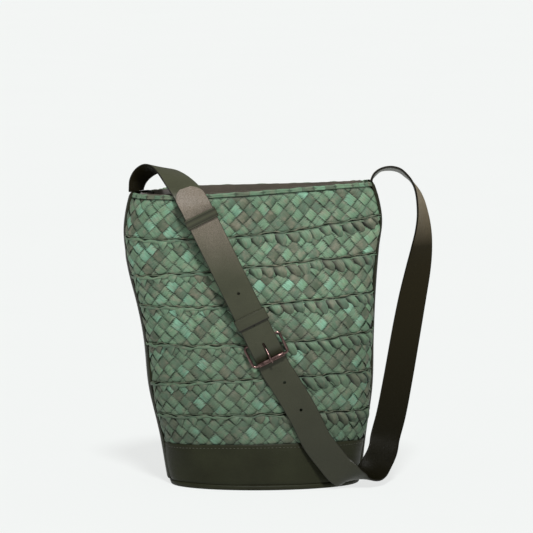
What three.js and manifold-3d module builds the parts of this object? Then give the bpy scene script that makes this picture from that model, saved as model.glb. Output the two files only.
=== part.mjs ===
// A green plaited bucket bag with a leather base, leather side strips and a buckled shoulder strap.
// Millimetres, +Z up. X runs across the bag, the front faces -Y, and the origin is the centre of the
// base where it stands. The soft body leans to the left and its mouth is open on that side only.

import * as THREE from "three";
import * as BufferGeometryUtils from "three/addons/utils/BufferGeometryUtils.js";
import Module from "manifold-3d";

// ---- driving dimensions -------------------------------------------------------------------------

const TURN = Math.PI / 180;
const GAP = 0.3;                 // between any two pieces that touch
const WALL_GAP = 1.2;            // between the layers of the wall

// The outline of the body seen from the front, as [height, x] of each side.
const LEFT_SIDE = [[0, -94], [45, -102], [95, -113], [145, -118.5], [180, -125], [215, -134],
  [250, -139], [275, -137], [300, -131]];
const RIGHT_SIDE = [[0, 91], [45, 96.5], [95, 103], [145, 104.5], [190, 106], [235, 109.5],
  [262, 112.5], [285, 109], [305, 102.5]];
// Half of the depth, as [height, depth].
const HALF_DEPTH = [[0, 64], [45, 62.5], [100, 60.5], [150, 58.5], [200, 57], [300, 57]];

const RIM_LEFT = 292;            // height of the rim at the left side
const RIM_RISE = 9;              // how much higher it is at the right side
const SIDE_FLAT = 13;            // half of the flat side that joins the two panels
const MOUTH_OPEN = 66;           // reach of the mouth beyond the flat at its open left end
const MOUTH_SHUT = 6;            // and at its pinched right end
const MOUTH_FROM = 150;          // height at which the body starts to turn into the mouth
const MOUTH_ANGLES = [-80, 60];  // where round a panel it goes from open to shut, in degrees
const CORNER_SKEW = 0.8;         // slant of the left side strip at the rim
const CORNER_SKEW_EASE = 8;
const CORNER_SKEW_FROM = 222;    // height at which it starts
const CORNER_SKEW_ANGLES = [-30, -90];

// Seams between the plaited bands, each as heights at the left, middle and right of a panel.
const SEAMS = [[42.4, 45.5, 44], [72, 75, 75.5], [103, 111, 114], [143, 145, 154],
  [181, 184, 192.5], [210, 221, 230], [249, 252, 268]];

const BRAID = 4;                 // thickness of a plaited band
const BRAID_GAP = 0.5;
const BRAID_BULGE = 1.2;         // at mid height, fading out at both ends of a band
const BULGE_FADE = 0.1;          // of a panel's width
const BASE_BAND = 4.3;
const BASE_BAND_PROUD = 0.6;
const HEM = 4.2;                 // height of the folded hem along the rim
const HEM_PROUD = 0.7;
const HEM_BULGE = 0.4;
const LINING = 1.3;
const FACING = 1.2;
const FACING_HEIGHT = 38;
const LINING_UNDER_RIM = 1;
const LINING_LEVELS = [0, 0.07, 0.2, 0.36, 0.52, 0.66, 0.78, 0.88, 0.95, 1];
const SIDE_STRIP = 2.2;
const SIDE_STRIP_OUT = HEM_PROUD + 1;
const SIDE_STRIP_OVERLAP = 0.014; // of a panel's width
const SIDE_STRIP_OVER_RIM = 0.5;
const WELT_HEIGHT = 5.2;
const WELT_OUT = 1.9;
const WELT_BEVEL = 1;
const WELT_INSIDE = -2.5;
const PANEL = 2.4;               // leather under the base
const BOARD = 2.5;               // stiffener above it

const STRAP_WIDTH = 30;
const STRAP = 2.4;               // thickness of the strap
const HOLE_SPACING = 33.2;
const HOLES_BELOW_PRONG = 5;       // from the prong down to the middle of the row of holes
const HOLE_PUNCH = [1.5, 1.5, 8, 12];    // radius at both ends, length, sides
const PRONG_SLOT = [3, 12, 16];          // across, through and along the strap
const PRONG_SLOT_UP = 1.5;               // of the slot's middle, from the row it is punched at
const FOLD_SLOT = [4.2, 10, 14];         // in the fold round the hinge bar, for the prong's eye
const END_BLUNT = 1.5;                   // how far the round ends are cut short

// The buckle lies where the strap runs straight down the front. LEVEL points are given by how far
// they are down the strap from the hinge bar, and by their y.
const HINGE_BAR = new THREE.Vector3(-9.8, -64.1, 150);
const DOWN_STRAP = new THREE.Vector3(0.44, 0, -0.898).normalize();
const ACROSS_STRAP = new THREE.Vector3(0.898, 0, 0.44).normalize();
const BUCKLE_LENGTH = 21.5;      // between the hinge bar and the outer bar
const BUCKLE_LIFT = -3.6;        // y of the outer bar from the hinge bar
const BUCKLE_HALF_WIDTH = 19;
const WIRE = 1.4;                // radius of the buckle's wire
const ROLLER_RADIUS = 2.6;
const ROLLER_HALF_LENGTH = 14;
const BAR_CLEAR = 0.25;          // round the hinge bar
const PRONG_RADIUS = 1;
const PRONG_TAPER = 0.8;
const PRONG_EYE_WALL = 1.15;
const PRONG_EYE_HALF_LENGTH = 1.5;
const UNDER_LAYER_Y = HINGE_BAR.y - WIRE - BAR_CLEAR - STRAP / 2;
const UPPER_LAYER_Y = UNDER_LAYER_Y - STRAP - GAP;
const RETURN_LAYER_Y = UNDER_LAYER_Y + STRAP + GAP;
const KEEPER_WALL = 1.3;
const KEEPER_CLEAR = 0.4;
const KEEPER_CORNER = 0.8;
const FIXED_KEEPER = { down: -23, width: 12 };
const SLIDING_KEEPER = { down: -135, width: 10 };
const FRAME_CORNER = 3;

// ---- materials ----------------------------------------------------------------------------------

function material(color, roughness, metalness = 0) {
  return new THREE.MeshStandardMaterial({ color, roughness, metalness });
}

const PLAIT = material(0x66876e, 0.7);
const LEATHER = material(0x4a473c, 0.55);
const SUEDE = material(0x5f564c, 0.85);
const CLOTH = material(0x4c463d, 0.9);
const CARD = material(0x8b7355, 0.9);
const BRONZE = material(0x8a6d68, 0.3, 1);

// ---- general geometry ---------------------------------------------------------------------------

function smooth(t) {
  const c = Math.min(1, Math.max(0, t));
  return c * c * (3 - 2 * c);
}

// From 0 at the first of two values to 1 at the second.
function smoothBetween([from, to], value) {
  return smooth((value - from) / (to - from));
}

// A smooth curve through [position, value] points, read at one position.
function curveAt(points, at) {
  const last = points.length - 1;
  let k = 0;
  while (k < last - 1 && at > points[k + 1][0]) k += 1;
  const slope = (i) => {
    const a = points[Math.max(0, i - 1)];
    const b = points[Math.min(last, i + 1)];
    return (b[1] - a[1]) / (b[0] - a[0]);
  };
  const [x0, y0] = points[k];
  const [x1, y1] = points[k + 1];
  const span = x1 - x0;
  const t = Math.min(1, Math.max(0, (at - x0) / span));
  const rise = y1 - y0;
  const m0 = slope(k) * span;
  const m1 = slope(k + 1) * span;
  return y0 + t * (m0 + t * (3 * rise - 2 * m0 - m1 + t * (m0 + m1 - 2 * rise)));
}

function geometryFrom(points, triangles) {
  const geometry = new THREE.BufferGeometry();
  const a = new THREE.Vector3();
  let volume = 0;
  for (const [i, j, k] of triangles) volume += points[i].dot(a.crossVectors(points[j], points[k]));
  const turned = volume < 0 ? triangles.map(([i, j, k]) => [i, k, j]) : triangles;
  geometry.setAttribute("position",
    new THREE.Float32BufferAttribute(points.flatMap((p) => [p.x, p.y, p.z]), 3));
  geometry.setIndex(turned.flat());
  return geometry;
}

function quad(triangles, a, b, c, d) {
  triangles.push([a, b, c], [a, c, d]);
}

// A thick sheet between two surfaces, each a function of u and v from 0 to 1. A ring closes on
// itself along u.
function slab(outer, inner, nu, nv, ring = false) {
  const columns = ring ? nu : nu + 1;
  const points = [];
  for (const surface of [outer, inner]) {
    for (let i = 0; i < columns; i += 1) {
      for (let j = 0; j <= nv; j += 1) points.push(surface(i / nu, j / nv));
    }
  }
  const half = columns * (nv + 1);
  const at = (i, j) => (i % columns) * (nv + 1) + j;
  const triangles = [];
  for (let i = 0; i < nu; i += 1) {
    for (let j = 0; j < nv; j += 1) {
      quad(triangles, at(i, j), at(i + 1, j), at(i + 1, j + 1), at(i, j + 1));
      quad(triangles, half + at(i, j + 1), half + at(i + 1, j + 1), half + at(i + 1, j), half + at(i, j));
    }
    quad(triangles, at(i + 1, 0), at(i, 0), half + at(i, 0), half + at(i + 1, 0));
    quad(triangles, at(i, nv), at(i + 1, nv), half + at(i + 1, nv), half + at(i, nv));
  }
  if (!ring) {
    for (let j = 0; j < nv; j += 1) {
      quad(triangles, at(0, j), at(0, j + 1), half + at(0, j + 1), half + at(0, j));
      quad(triangles, at(nu, j + 1), at(nu, j), half + at(nu, j), half + at(nu, j + 1));
    }
  }
  return geometryFrom(points, triangles);
}

// A stack of rings with the same number of points, closed at both ends, or joined end to end.
function stack(rings, joined = false) {
  const n = rings[0].length;
  const points = rings.flat();
  const triangles = [];
  const steps = joined ? rings.length : rings.length - 1;
  for (let i = 0; i < steps; i += 1) {
    const next = (i + 1) % rings.length;
    for (let j = 0; j < n; j += 1) {
      const k = (j + 1) % n;
      quad(triangles, i * n + j, i * n + k, next * n + k, next * n + j);
    }
  }
  if (!joined) {
    for (const [i, way] of [[0, 1], [rings.length - 1, -1]]) {
      const middle = rings[i].reduce((sum, p) => sum.add(p), new THREE.Vector3()).divideScalar(n);
      points.push(middle);
      for (let j = 0; j < n; j += 1) {
        const k = (j + 1) % n;
        triangles.push(way > 0 ? [points.length - 1, i * n + k, i * n + j]
          : [points.length - 1, i * n + j, i * n + k]);
      }
    }
  }
  return geometryFrom(points, triangles);
}

// A rod with round sections along a path of points, thinner towards its end where told so.
function rod(path, radius, sides, { normal, closed = false, taper = 1 }) {
  const rings = path.map((p, i) => {
    const before = path[closed ? (i + path.length - 1) % path.length : Math.max(0, i - 1)];
    const after = path[closed ? (i + 1) % path.length : Math.min(path.length - 1, i + 1)];
    const tangent = after.clone().sub(before).normalize();
    const side = new THREE.Vector3().crossVectors(tangent, normal).normalize();
    const up = new THREE.Vector3().crossVectors(side, tangent);
    const size = radius * (1 - (1 - taper) * (i / (path.length - 1)));
    return Array.from({ length: sides }, (_, k) => {
      const turn = (k / sides) * 2 * Math.PI;
      return p.clone().addScaledVector(up, size * Math.cos(turn))
        .addScaledVector(side, size * Math.sin(turn));
    });
  });
  return stack(rings, closed);
}

// ---- joins and cuts -----------------------------------------------------------------------------

const wasm = await Module();
wasm.setup();

function solid(geometry) {
  const bare = geometry.clone();
  bare.deleteAttribute("normal");
  bare.deleteAttribute("uv");
  const merged = BufferGeometryUtils.mergeVertices(bare, 1e-4);
  return new wasm.Manifold(new wasm.Mesh({
    numProp: 3,
    vertProperties: new Float32Array(merged.attributes.position.array),
    triVerts: new Uint32Array(merged.index.array),
  }));
}

function fromSolid(body) {
  const mesh = body.getMesh();
  const geometry = new THREE.BufferGeometry();
  geometry.setAttribute("position", new THREE.BufferAttribute(mesh.vertProperties, 3));
  geometry.setIndex(new THREE.BufferAttribute(mesh.triVerts, 1));
  return geometry;
}

// ---- the body of the bag ------------------------------------------------------------------------

// How far a point is round the bag: 0 to 1 along the front panel from left to right, 1 to 2 across
// the right side, 2 to 3 along the back panel from right to left, and 3 to 4 across the left side.
function panelAngle(around) {
  if (around <= 1) return (around * 2 - 1) * 90 * TURN;
  if (around <= 2) return 90 * TURN;
  if (around <= 3) return (1 - (around - 2) * 2) * 90 * TURN;
  return -90 * TURN;
}

function rimHeight(around) {
  const across = (1 + Math.sin(panelAngle(around))) / 2;
  return RIM_LEFT + RIM_RISE * across ** 1.5;
}

function wallPoint(around, z) {
  const angle = panelAngle(around);
  const left = curveAt(LEFT_SIDE, z);
  const right = curveAt(RIGHT_SIDE, z);
  const mouth = smoothBetween([MOUTH_FROM, RIM_LEFT], z);
  const openness = 1 - smoothBetween(MOUTH_ANGLES, angle / TURN);
  const mouthReach = MOUTH_SHUT + (MOUTH_OPEN - MOUTH_SHUT) * openness;
  const bodyReach = curveAt(HALF_DEPTH, z) - SIDE_FLAT;
  const reach = THREE.MathUtils.lerp(bodyReach, mouthReach, mouth) * Math.cos(angle);
  let y = -(SIDE_FLAT + reach);
  if (around > 1 && around < 2) y = SIDE_FLAT * (2 * (around - 1) - 1);
  if (around >= 2 && around <= 3) y = SIDE_FLAT + reach;
  if (around > 3) y = SIDE_FLAT * (1 - 2 * (around - 3));
  const skew = smoothBetween([CORNER_SKEW_FROM, RIM_LEFT], z)
    * smoothBetween(CORNER_SKEW_ANGLES, angle / TURN);
  const behind = Math.max(0, y + SIDE_FLAT);
  const x = (left + right) / 2 + ((right - left) / 2) * Math.sin(angle)
    + CORNER_SKEW * skew * behind ** 2 / (behind + CORNER_SKEW_EASE);
  return new THREE.Vector3(x, y, z);
}

const PANEL_STEPS = 18;
const NORMAL_STEP = 0.01;        // round the bag, to find which way is outwards
const CORNER_INSET = 0.96;       // how far an inner layer's corner point stays inside its neighbour

// A point off the wall by a distance along its normal, outwards where it is positive.
function offWall(around, z, off) {
  const a = wallPoint((around - NORMAL_STEP + 4) % 4, z);
  const b = wallPoint((around + NORMAL_STEP) % 4, z);
  const outwards = new THREE.Vector3(b.y - a.y, a.x - b.x, 0).normalize();
  return wallPoint((around + 4) % 4, z).addScaledVector(outwards, off);
}

// The same, but an inner layer doesn't fold over itself in the pinched right end of the mouth.
function wall(around, z, off) {
  const point = offWall(around, z, off);
  if (off >= 0 || around < 0.5 || around > 2.5) return point;
  point.x = Math.min(point.x, curveAt(RIGHT_SIDE, z) + off);
  if (around >= 1 && around <= 2) {
    const reach = Math.abs(offWall(1 - 1 / PANEL_STEPS, z, off).y) * CORNER_INSET;
    point.y = THREE.MathUtils.clamp(point.y, -reach, reach);
  }
  return point;
}

const SIDE_STEPS = 3;
const BRAID_ROWS = 3;
const EDGE_ROWS = 2;             // in the base band, the hem and the facing
const SIDE_STRIP_COLUMNS = 4;
const SIDE_STRIP_ROWS = 14;

// The places round the bag at which a closed ring has its points.
function placesAround() {
  const places = [];
  for (let side = 0; side < 4; side += 1) {
    const steps = side % 2 ? SIDE_STEPS : PANEL_STEPS;
    for (let k = 0; k < steps; k += 1) places.push(side + k / steps);
  }
  return places;
}

function ringAt(height, off) {
  return placesAround().map((around) => wall(around, height(around), off));
}

// Height of a seam at a place on either panel. Seam 0 is the top of the base band.
function seamHeight(seam, around) {
  if (seam >= SEAMS.length) return rimHeight(around) - HEM;
  const [left, middle, right] = SEAMS[seam];
  const s = Math.sin(panelAngle(around));
  return middle + s * (right - left) / 2 + s * s * ((right + left) / 2 - middle);
}

function onPanel(back, u) {
  return back ? 3 - u : u;
}

// A sheet on one panel between two heights, each a function of the place round the bag.
function panelSheet(back, low, high, out, thickness, bulge, rows) {
  const at = (off, swell) => (u, v) => {
    const around = onPanel(back, u);
    const z = THREE.MathUtils.lerp(low(around), high(around), v);
    return wall(around, z, off + swell * Math.sin(Math.PI * v) * smooth(Math.min(u, 1 - u) / BULGE_FADE));
  };
  return slab(at(out, bulge), at(out - thickness, 0), PANEL_STEPS, rows);
}

function braid(back, number) {
  return panelSheet(back, (a) => seamHeight(number - 1, a) + BRAID_GAP / 2,
    (a) => seamHeight(number, a) - BRAID_GAP / 2, 0, BRAID, BRAID_BULGE, BRAID_ROWS);
}

function baseBand(back) {
  return panelSheet(back, () => WELT_HEIGHT + GAP, (a) => seamHeight(0, a) - GAP / 2,
    BASE_BAND_PROUD, BASE_BAND, 0, EDGE_ROWS);
}

function rimHem(back) {
  return panelSheet(back, (a) => rimHeight(a) - HEM + GAP / 2, rimHeight, HEM_PROUD,
    BRAID + HEM_PROUD, HEM_BULGE, EDGE_ROWS);
}

function rimFacing(back) {
  return panelSheet(back, (a) => rimHeight(a) - FACING_HEIGHT, (a) => rimHeight(a) - GAP,
    -BRAID - LINING - 2 * WALL_GAP, FACING, 0, EDGE_ROWS);
}

function sideStrip(rightSide) {
  const first = rightSide ? 1 : 3;
  const at = (off) => (u, v) => {
    const around = first + THREE.MathUtils.lerp(-SIDE_STRIP_OVERLAP, 1 + SIDE_STRIP_OVERLAP, u);
    const top = rimHeight(around % 4) + SIDE_STRIP_OVER_RIM;
    const low = WELT_HEIGHT + GAP;
    return wall(around, THREE.MathUtils.lerp(low, top, v), off);
  };
  return slab(at(SIDE_STRIP_OUT + SIDE_STRIP), at(SIDE_STRIP_OUT), SIDE_STRIP_COLUMNS, SIDE_STRIP_ROWS);
}

// The lining is one cup: up the outside, over the rim and down to its own floor.
function lining() {
  const floor = PANEL + BOARD + 2 * GAP;
  const height = (level, low) => (around) => (
    THREE.MathUtils.lerp(low, rimHeight(around) - LINING_UNDER_RIM, level));
  const out = -BRAID - WALL_GAP;
  const outside = LINING_LEVELS.map((level) => ringAt(height(level, floor), out));
  const inside = LINING_LEVELS.map((level) => ringAt(height(level, floor + LINING), out - LINING));
  return stack([...outside, ...inside.reverse()]);
}

function flatPlate(low, thickness, off) {
  return stack([ringAt(() => low, off), ringAt(() => low + thickness, off)]);
}

function baseWelt() {
  const section = [[WELT_INSIDE, 0], [WELT_OUT - WELT_BEVEL, 0], [WELT_OUT, WELT_BEVEL],
    [WELT_OUT, WELT_HEIGHT - WELT_BEVEL], [WELT_OUT - WELT_BEVEL, WELT_HEIGHT],
    [WELT_INSIDE, WELT_HEIGHT]];
  return stack(placesAround().map((around) => section.map(([off, z]) => wall(around, z, off))), true);
}

// ---- the strap ----------------------------------------------------------------------------------

// One row of a strap's route: its two edges.
function edges(x0, y0, z0, x1, y1, z1) {
  const a = new THREE.Vector3(x0, y0, z0);
  const b = new THREE.Vector3(x1, y1, z1);
  return { middle: a.clone().add(b).multiplyScalar(0.5), across: b.sub(a).normalize() };
}

// A row of the straight stretch by its distance down the strap from the hinge bar, and its y.
function level(down, y) {
  const middle = HINGE_BAR.clone().addScaledVector(DOWN_STRAP, down);
  middle.y = y;
  return { middle, across: ACROSS_STRAP.clone() };
}

const STEPS_PER_ROW = 3;

// The route through the rows, as evenly shared steps with their own frame.
function route(rows) {
  const middles = new THREE.CatmullRomCurve3(rows.map((row) => row.middle));
  const acrosses = new THREE.CatmullRomCurve3(rows.map((row) => row.across));
  const count = (rows.length - 1) * STEPS_PER_ROW;
  const steps = [];
  let length = 0;
  for (let i = 0; i <= count; i += 1) {
    const middle = middles.getPoint(i / count);
    const tangent = middles.getTangent(i / count);
    const normal = new THREE.Vector3().crossVectors(tangent, acrosses.getPoint(i / count)).normalize();
    const across = new THREE.Vector3().crossVectors(normal, tangent).normalize();
    if (i) length += middle.distanceTo(steps[i - 1].middle);
    steps.push({ middle, tangent, normal, across, length });
  }
  return steps;
}

// Half of the strap's width near a rounded end, by the distance to that end.
function endHalfWidth(distance) {
  const radius = STRAP_WIDTH / 2;
  return Math.sqrt(radius ** 2 - Math.max(0, radius - END_BLUNT - distance) ** 2);
}

function ribbon(steps, roundStart, roundEnd) {
  const total = steps[steps.length - 1].length;
  const count = steps.length - 1;
  const face = (side) => (u, v) => {
    const { middle, normal, across, length } = steps[Math.round(u * count)];
    const half = Math.min(STRAP_WIDTH / 2, roundStart ? endHalfWidth(length) : Infinity,
      roundEnd ? endHalfWidth(total - length) : Infinity);
    return middle.clone().addScaledVector(across, half * (2 * v - 1))
      .addScaledVector(normal, side * STRAP / 2);
  };
  return slab(face(1), face(-1), count, 1);
}

// A cutter through the strap at a step: a round or long punch along the strap's own normal.
function punch(step, geometry) {
  const basis = new THREE.Matrix4().makeBasis(step.across, step.normal, step.tangent);
  geometry.applyMatrix4(basis.setPosition(step.middle));
  return solid(geometry);
}

// From the left corner up in a loop, over the rim, down the front, round the hinge bar and back.
const BUCKLE_STRAP_ROWS = [
  edges(-137, -14, 295.5, -121, 12, 295.5),
  edges(-136.8, -14, 305, -118, 11.5, 300.5),
  edges(-134, -15, 313, -113, 10, 305.5),
  edges(-129, -16.5, 318.3, -107, 7, 309.5),
  edges(-122.5, -19.5, 320.3, -99.5, 0, 313.3),
  edges(-115.5, -26, 318.5, -91, -9, 313.5),
  edges(-109, -35.5, 312.5, -83.5, -21, 311),
  edges(-102.5, -47.5, 303, -77, -35, 307),
  edges(-97, -59.5, 292.8, -69.5, -50, 301),
  edges(-91.3, -65, 281.5, -63.8, -61.5, 292.5),
  level(-146, UNDER_LAYER_Y),
  level(-138, UNDER_LAYER_Y),
  level(-130, UNDER_LAYER_Y),
  level(-90, UNDER_LAYER_Y),
  level(-45, UNDER_LAYER_Y),
  level(-10, UNDER_LAYER_Y),
  level(-4, UNDER_LAYER_Y),
  level(0, UNDER_LAYER_Y),
  level(2, HINGE_BAR.y - 2),
  level(2.85, HINGE_BAR.y),
  level(2, HINGE_BAR.y + 2),
  level(0, HINGE_BAR.y + 2.85),
  level(-4, -61.8),
  level(-9, -63.3),
  level(-14, RETURN_LAYER_Y),
  level(-24, RETURN_LAYER_Y),
  level(-35, RETURN_LAYER_Y),
];

function buckleStrap() {
  const strap = solid(ribbon(route(BUCKLE_STRAP_ROWS), true, false));
  const fold = { middle: HINGE_BAR, across: ACROSS_STRAP, tangent: DOWN_STRAP,
    normal: new THREE.Vector3().crossVectors(DOWN_STRAP, ACROSS_STRAP) };
  return fromSolid(strap.subtract(punch(fold, new THREE.BoxGeometry(...FOLD_SLOT))));
}

// From the right corner over and down to the floor, turned forwards there, up the front, under the
// outer bar, over the hinge bar and on top of the other strap to a round tip.
const PRONG_ROW = level(11.5, -68.3);
const HOLE_STRAP_ROWS = [
  edges(105, -15, 304.5, 105, 15, 304.5),
  edges(108.2, -15, 310.3, 110, 15, 307),
  edges(114.4, -15, 314.5, 117.5, 15, 310),
  edges(123.5, -15, 316.4, 127, 15, 310.8),
  edges(132.7, -15, 314.3, 135.8, 15, 308.6),
  edges(140.7, -15, 307.5, 143.5, 15, 303),
  edges(146.2, -15, 299, 150.5, 15, 296.5),
  edges(149.5, -14, 287, 159, 14, 283.5),
  edges(150.9, -13, 270, 165, 13, 264),
  edges(149.5, -12, 254, 167.8, 11, 247),
  edges(145.5, -10, 235, 168, 8, 227),
  edges(140.5, -8.5, 216, 166.5, 5, 208),
  edges(133, -8.5, 187, 162, 0, 180),
  edges(126, -10, 152, 155.5, -6, 146),
  edges(117.5, -14, 107, 147, -12, 100),
  edges(110, -17, 70, 139.5, -16.5, 64),
  edges(103.7, -21, 47.5, 133.3, -20, 42.5),
  edges(101.5, -26.5, 37.5, 130, -25.5, 29.5),
  edges(96, -33, 27.6, 123.5, -31, 16.5),
  edges(88.5, -39.5, 16.5, 115, -44, 10.5),
  edges(73.8, -48.5, 6.8, 99, -60, 11.5),
  edges(67.2, -57, 5.8, 92.6, -66, 17),
  edges(60.9, -63.3, 7.4, 86.1, -65.7, 23.2),
  edges(54, -65, 12.8, 79, -65, 29.2),
  edges(47.4, -65, 21, 72.6, -65, 37),
  edges(39.7, -65.2, 30.7, 65.3, -65.2, 46.3),
  edges(31.5, -65.5, 42.2, 57.7, -65.5, 57.2),
  edges(21.6, -65.6, 63, 48.2, -65.6, 77),
  edges(10.4, -65, 83.5, 37, -65, 97.1),
  edges(-2.1, -64.3, 103.8, 24.7, -64.3, 117.2),
  level(33, -63.8),
  level(27, -63.4),
  level(22, -63.5),
  level(18, -64.6),
  level(15, -66.3),
  PRONG_ROW,
  level(7, -69.4),
  level(2, -69.8),
  level(-3, UPPER_LAYER_Y),
  level(-8, UPPER_LAYER_Y),
  level(-45, UPPER_LAYER_Y),
  level(-90, UPPER_LAYER_Y),
  level(-130, UPPER_LAYER_Y),
  level(-140, UPPER_LAYER_Y),
  level(-147, UPPER_LAYER_Y - 0.8),
  edges(-92, -68.8, 283.5, -64.7, -65.3, 294.5),
  edges(-98.3, -63.2, 295.6, -70.5, -54.1, 304),
];

function nearestStep(steps, length) {
  return steps.reduce((best, step) => (
    Math.abs(step.length - length) < Math.abs(best.length - length) ? step : best));
}

function holeStrap() {
  const steps = route(HOLE_STRAP_ROWS);
  const prong = steps[HOLE_STRAP_ROWS.indexOf(PRONG_ROW) * STEPS_PER_ROW];
  const slot = new THREE.BoxGeometry(...PRONG_SLOT).translate(0, 0, PRONG_SLOT_UP);
  let strap = solid(ribbon(steps, true, true)).subtract(punch(prong, slot));
  for (const count of [-2, -1, 1, 2]) {
    const step = nearestStep(steps,
      prong.length - HOLES_BELOW_PRONG + count * HOLE_SPACING);
    strap = strap.subtract(punch(step, new THREE.CylinderGeometry(...HOLE_PUNCH)));
  }
  return fromSolid(strap);
}

// ---- the buckle and the keepers -----------------------------------------------------------------

const FRAME_DOWN = DOWN_STRAP.clone().multiplyScalar(BUCKLE_LENGTH)
  .add(new THREE.Vector3(0, BUCKLE_LIFT, 0)).normalize();
const FRAME_NORMAL = new THREE.Vector3().crossVectors(FRAME_DOWN, ACROSS_STRAP).normalize();
const FRAME_LENGTH = Math.hypot(BUCKLE_LENGTH, BUCKLE_LIFT);

// A rounded rectangle in a plane, as points about its own first corner arc.
function roundedRectangle(halfWidth, low, high, radius, perCorner) {
  const corners = [[1, high, 0], [-1, high, 90], [-1, low, 180], [1, low, 270]];
  return corners.flatMap(([side, end, start]) => {
    const cx = side * (halfWidth - radius);
    const cy = end === high ? end - radius : end + radius;
    return Array.from({ length: perCorner }, (_, k) => {
      const turn = (start + (k / (perCorner - 1)) * 90) * TURN;
      return [cx + radius * Math.cos(turn), cy + radius * Math.sin(turn)];
    });
  });
}

function buckleFrame() {
  const corners = roundedRectangle(BUCKLE_HALF_WIDTH, 0, FRAME_LENGTH, FRAME_CORNER, 4);
  const path = corners.map(([across, down]) => (
    HINGE_BAR.clone().addScaledVector(ACROSS_STRAP, across).addScaledVector(FRAME_DOWN, down)));
  return rod(path, WIRE, 10, { normal: FRAME_NORMAL, closed: true });
}

// A sleeve on a bar that lies across the strap.
function sleeve(centre, inner, outer, halfLength, sides) {
  const profile = [[inner, -halfLength], [outer, -halfLength], [outer, halfLength], [inner, halfLength],
    [inner, -halfLength]];
  const geometry = new THREE.LatheGeometry(profile.map(([r, y]) => new THREE.Vector2(r, y)), sides);
  const upright = new THREE.Quaternion().setFromUnitVectors(new THREE.Vector3(0, 1, 0), ACROSS_STRAP);
  return geometry.applyQuaternion(upright).translate(centre.x, centre.y, centre.z);
}

function buckleRoller() {
  const centre = HINGE_BAR.clone().addScaledVector(FRAME_DOWN, FRAME_LENGTH);
  return sleeve(centre, WIRE + GAP, ROLLER_RADIUS, ROLLER_HALF_LENGTH, 16);
}

function buckleProng() {
  const path = [[1.2, -65.9], [4.5, -66.3], [8.5, -67.2], [12, -68.9], [16, -71], [21.5, -71.9],
    [24.5, -71.3]].map(([down, y]) => level(down, y).middle);
  const shank = solid(rod(path, PRONG_RADIUS, 8,
    { normal: new THREE.Vector3(0, 1, 0), taper: PRONG_TAPER }));
  const bore = WIRE + BAR_CLEAR;
  const eye = solid(sleeve(HINGE_BAR, bore, bore + PRONG_EYE_WALL, PRONG_EYE_HALF_LENGTH, 16));
  return fromSolid(eye.add(shank));
}

// A loop of leather round the straps, from its back y to its front y.
function keeper({ down, width }, back, front) {
  const middle = (back + front) / 2;
  const halfHeight = (back - front) / 2 + KEEPER_CLEAR;
  const at = (grow) => {
    const outline = roundedRectangle(STRAP_WIDTH / 2 + KEEPER_CLEAR + grow, -halfHeight - grow,
      halfHeight + grow, KEEPER_CORNER + grow, 3);
    return (u, v) => {
      const [across, out] = outline[Math.round(u * outline.length) % outline.length];
      const point = level(down + width * (v - 0.5), middle + out).middle;
      return point.addScaledVector(ACROSS_STRAP, across);
    };
  };
  return slab(at(KEEPER_WALL), at(0), 12, 1, true);
}

function keeperFixed() {
  return keeper(FIXED_KEEPER, RETURN_LAYER_Y + STRAP / 2, UPPER_LAYER_Y - STRAP / 2);
}

function keeperSliding() {
  return keeper(SLIDING_KEEPER, UNDER_LAYER_Y + STRAP / 2, UPPER_LAYER_Y - STRAP / 2);
}

// ---- the whole bag ------------------------------------------------------------------------------

const bag = new THREE.Group();

function add(name, geometry, surface) {
  const mesh = new THREE.Mesh(geometry, surface);
  mesh.name = name;
  bag.add(mesh);
}

for (const back of [false, true]) {
  const side = back ? "back" : "front";
  for (let number = 1; number <= SEAMS.length; number += 1) {
    add(`${side}_braid_${number}`, braid(back, number), PLAIT);
  }
  add(`${side}_base_band`, baseBand(back), LEATHER);
  add(`${side}_rim_hem`, rimHem(back), PLAIT);
  add(`${side}_rim_facing`, rimFacing(back), SUEDE);
}
add("side_strip_left", sideStrip(false), LEATHER);
add("side_strip_right", sideStrip(true), LEATHER);
add("lining", lining(), CLOTH);
add("base_panel", flatPlate(0, PANEL, WELT_INSIDE - GAP), LEATHER);
add("base_board", flatPlate(PANEL + GAP, BOARD, -BRAID - GAP), CARD);
add("base_welt", baseWelt(), LEATHER);
add("buckle_strap", buckleStrap(), LEATHER);
add("hole_strap", holeStrap(), LEATHER);
add("keeper_fixed", keeperFixed(), LEATHER);
add("keeper_sliding", keeperSliding(), LEATHER);
add("buckle_frame", buckleFrame(), BRONZE);
add("buckle_roller", buckleRoller(), BRONZE);
add("buckle_prong", buckleProng(), BRONZE);

export default bag;
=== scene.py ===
"""The looks of a green plaited bucket bag with a leather base and a buckled shoulder strap.

Metres, +Z up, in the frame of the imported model: X runs across the bag, the front faces -Y, and the
origin is the centre of the base where it stands. The body's outline, the seams and the strap's routes
repeat the part's own, so that every soft piece lies in the space that its solid holds.
"""

import math

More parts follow.
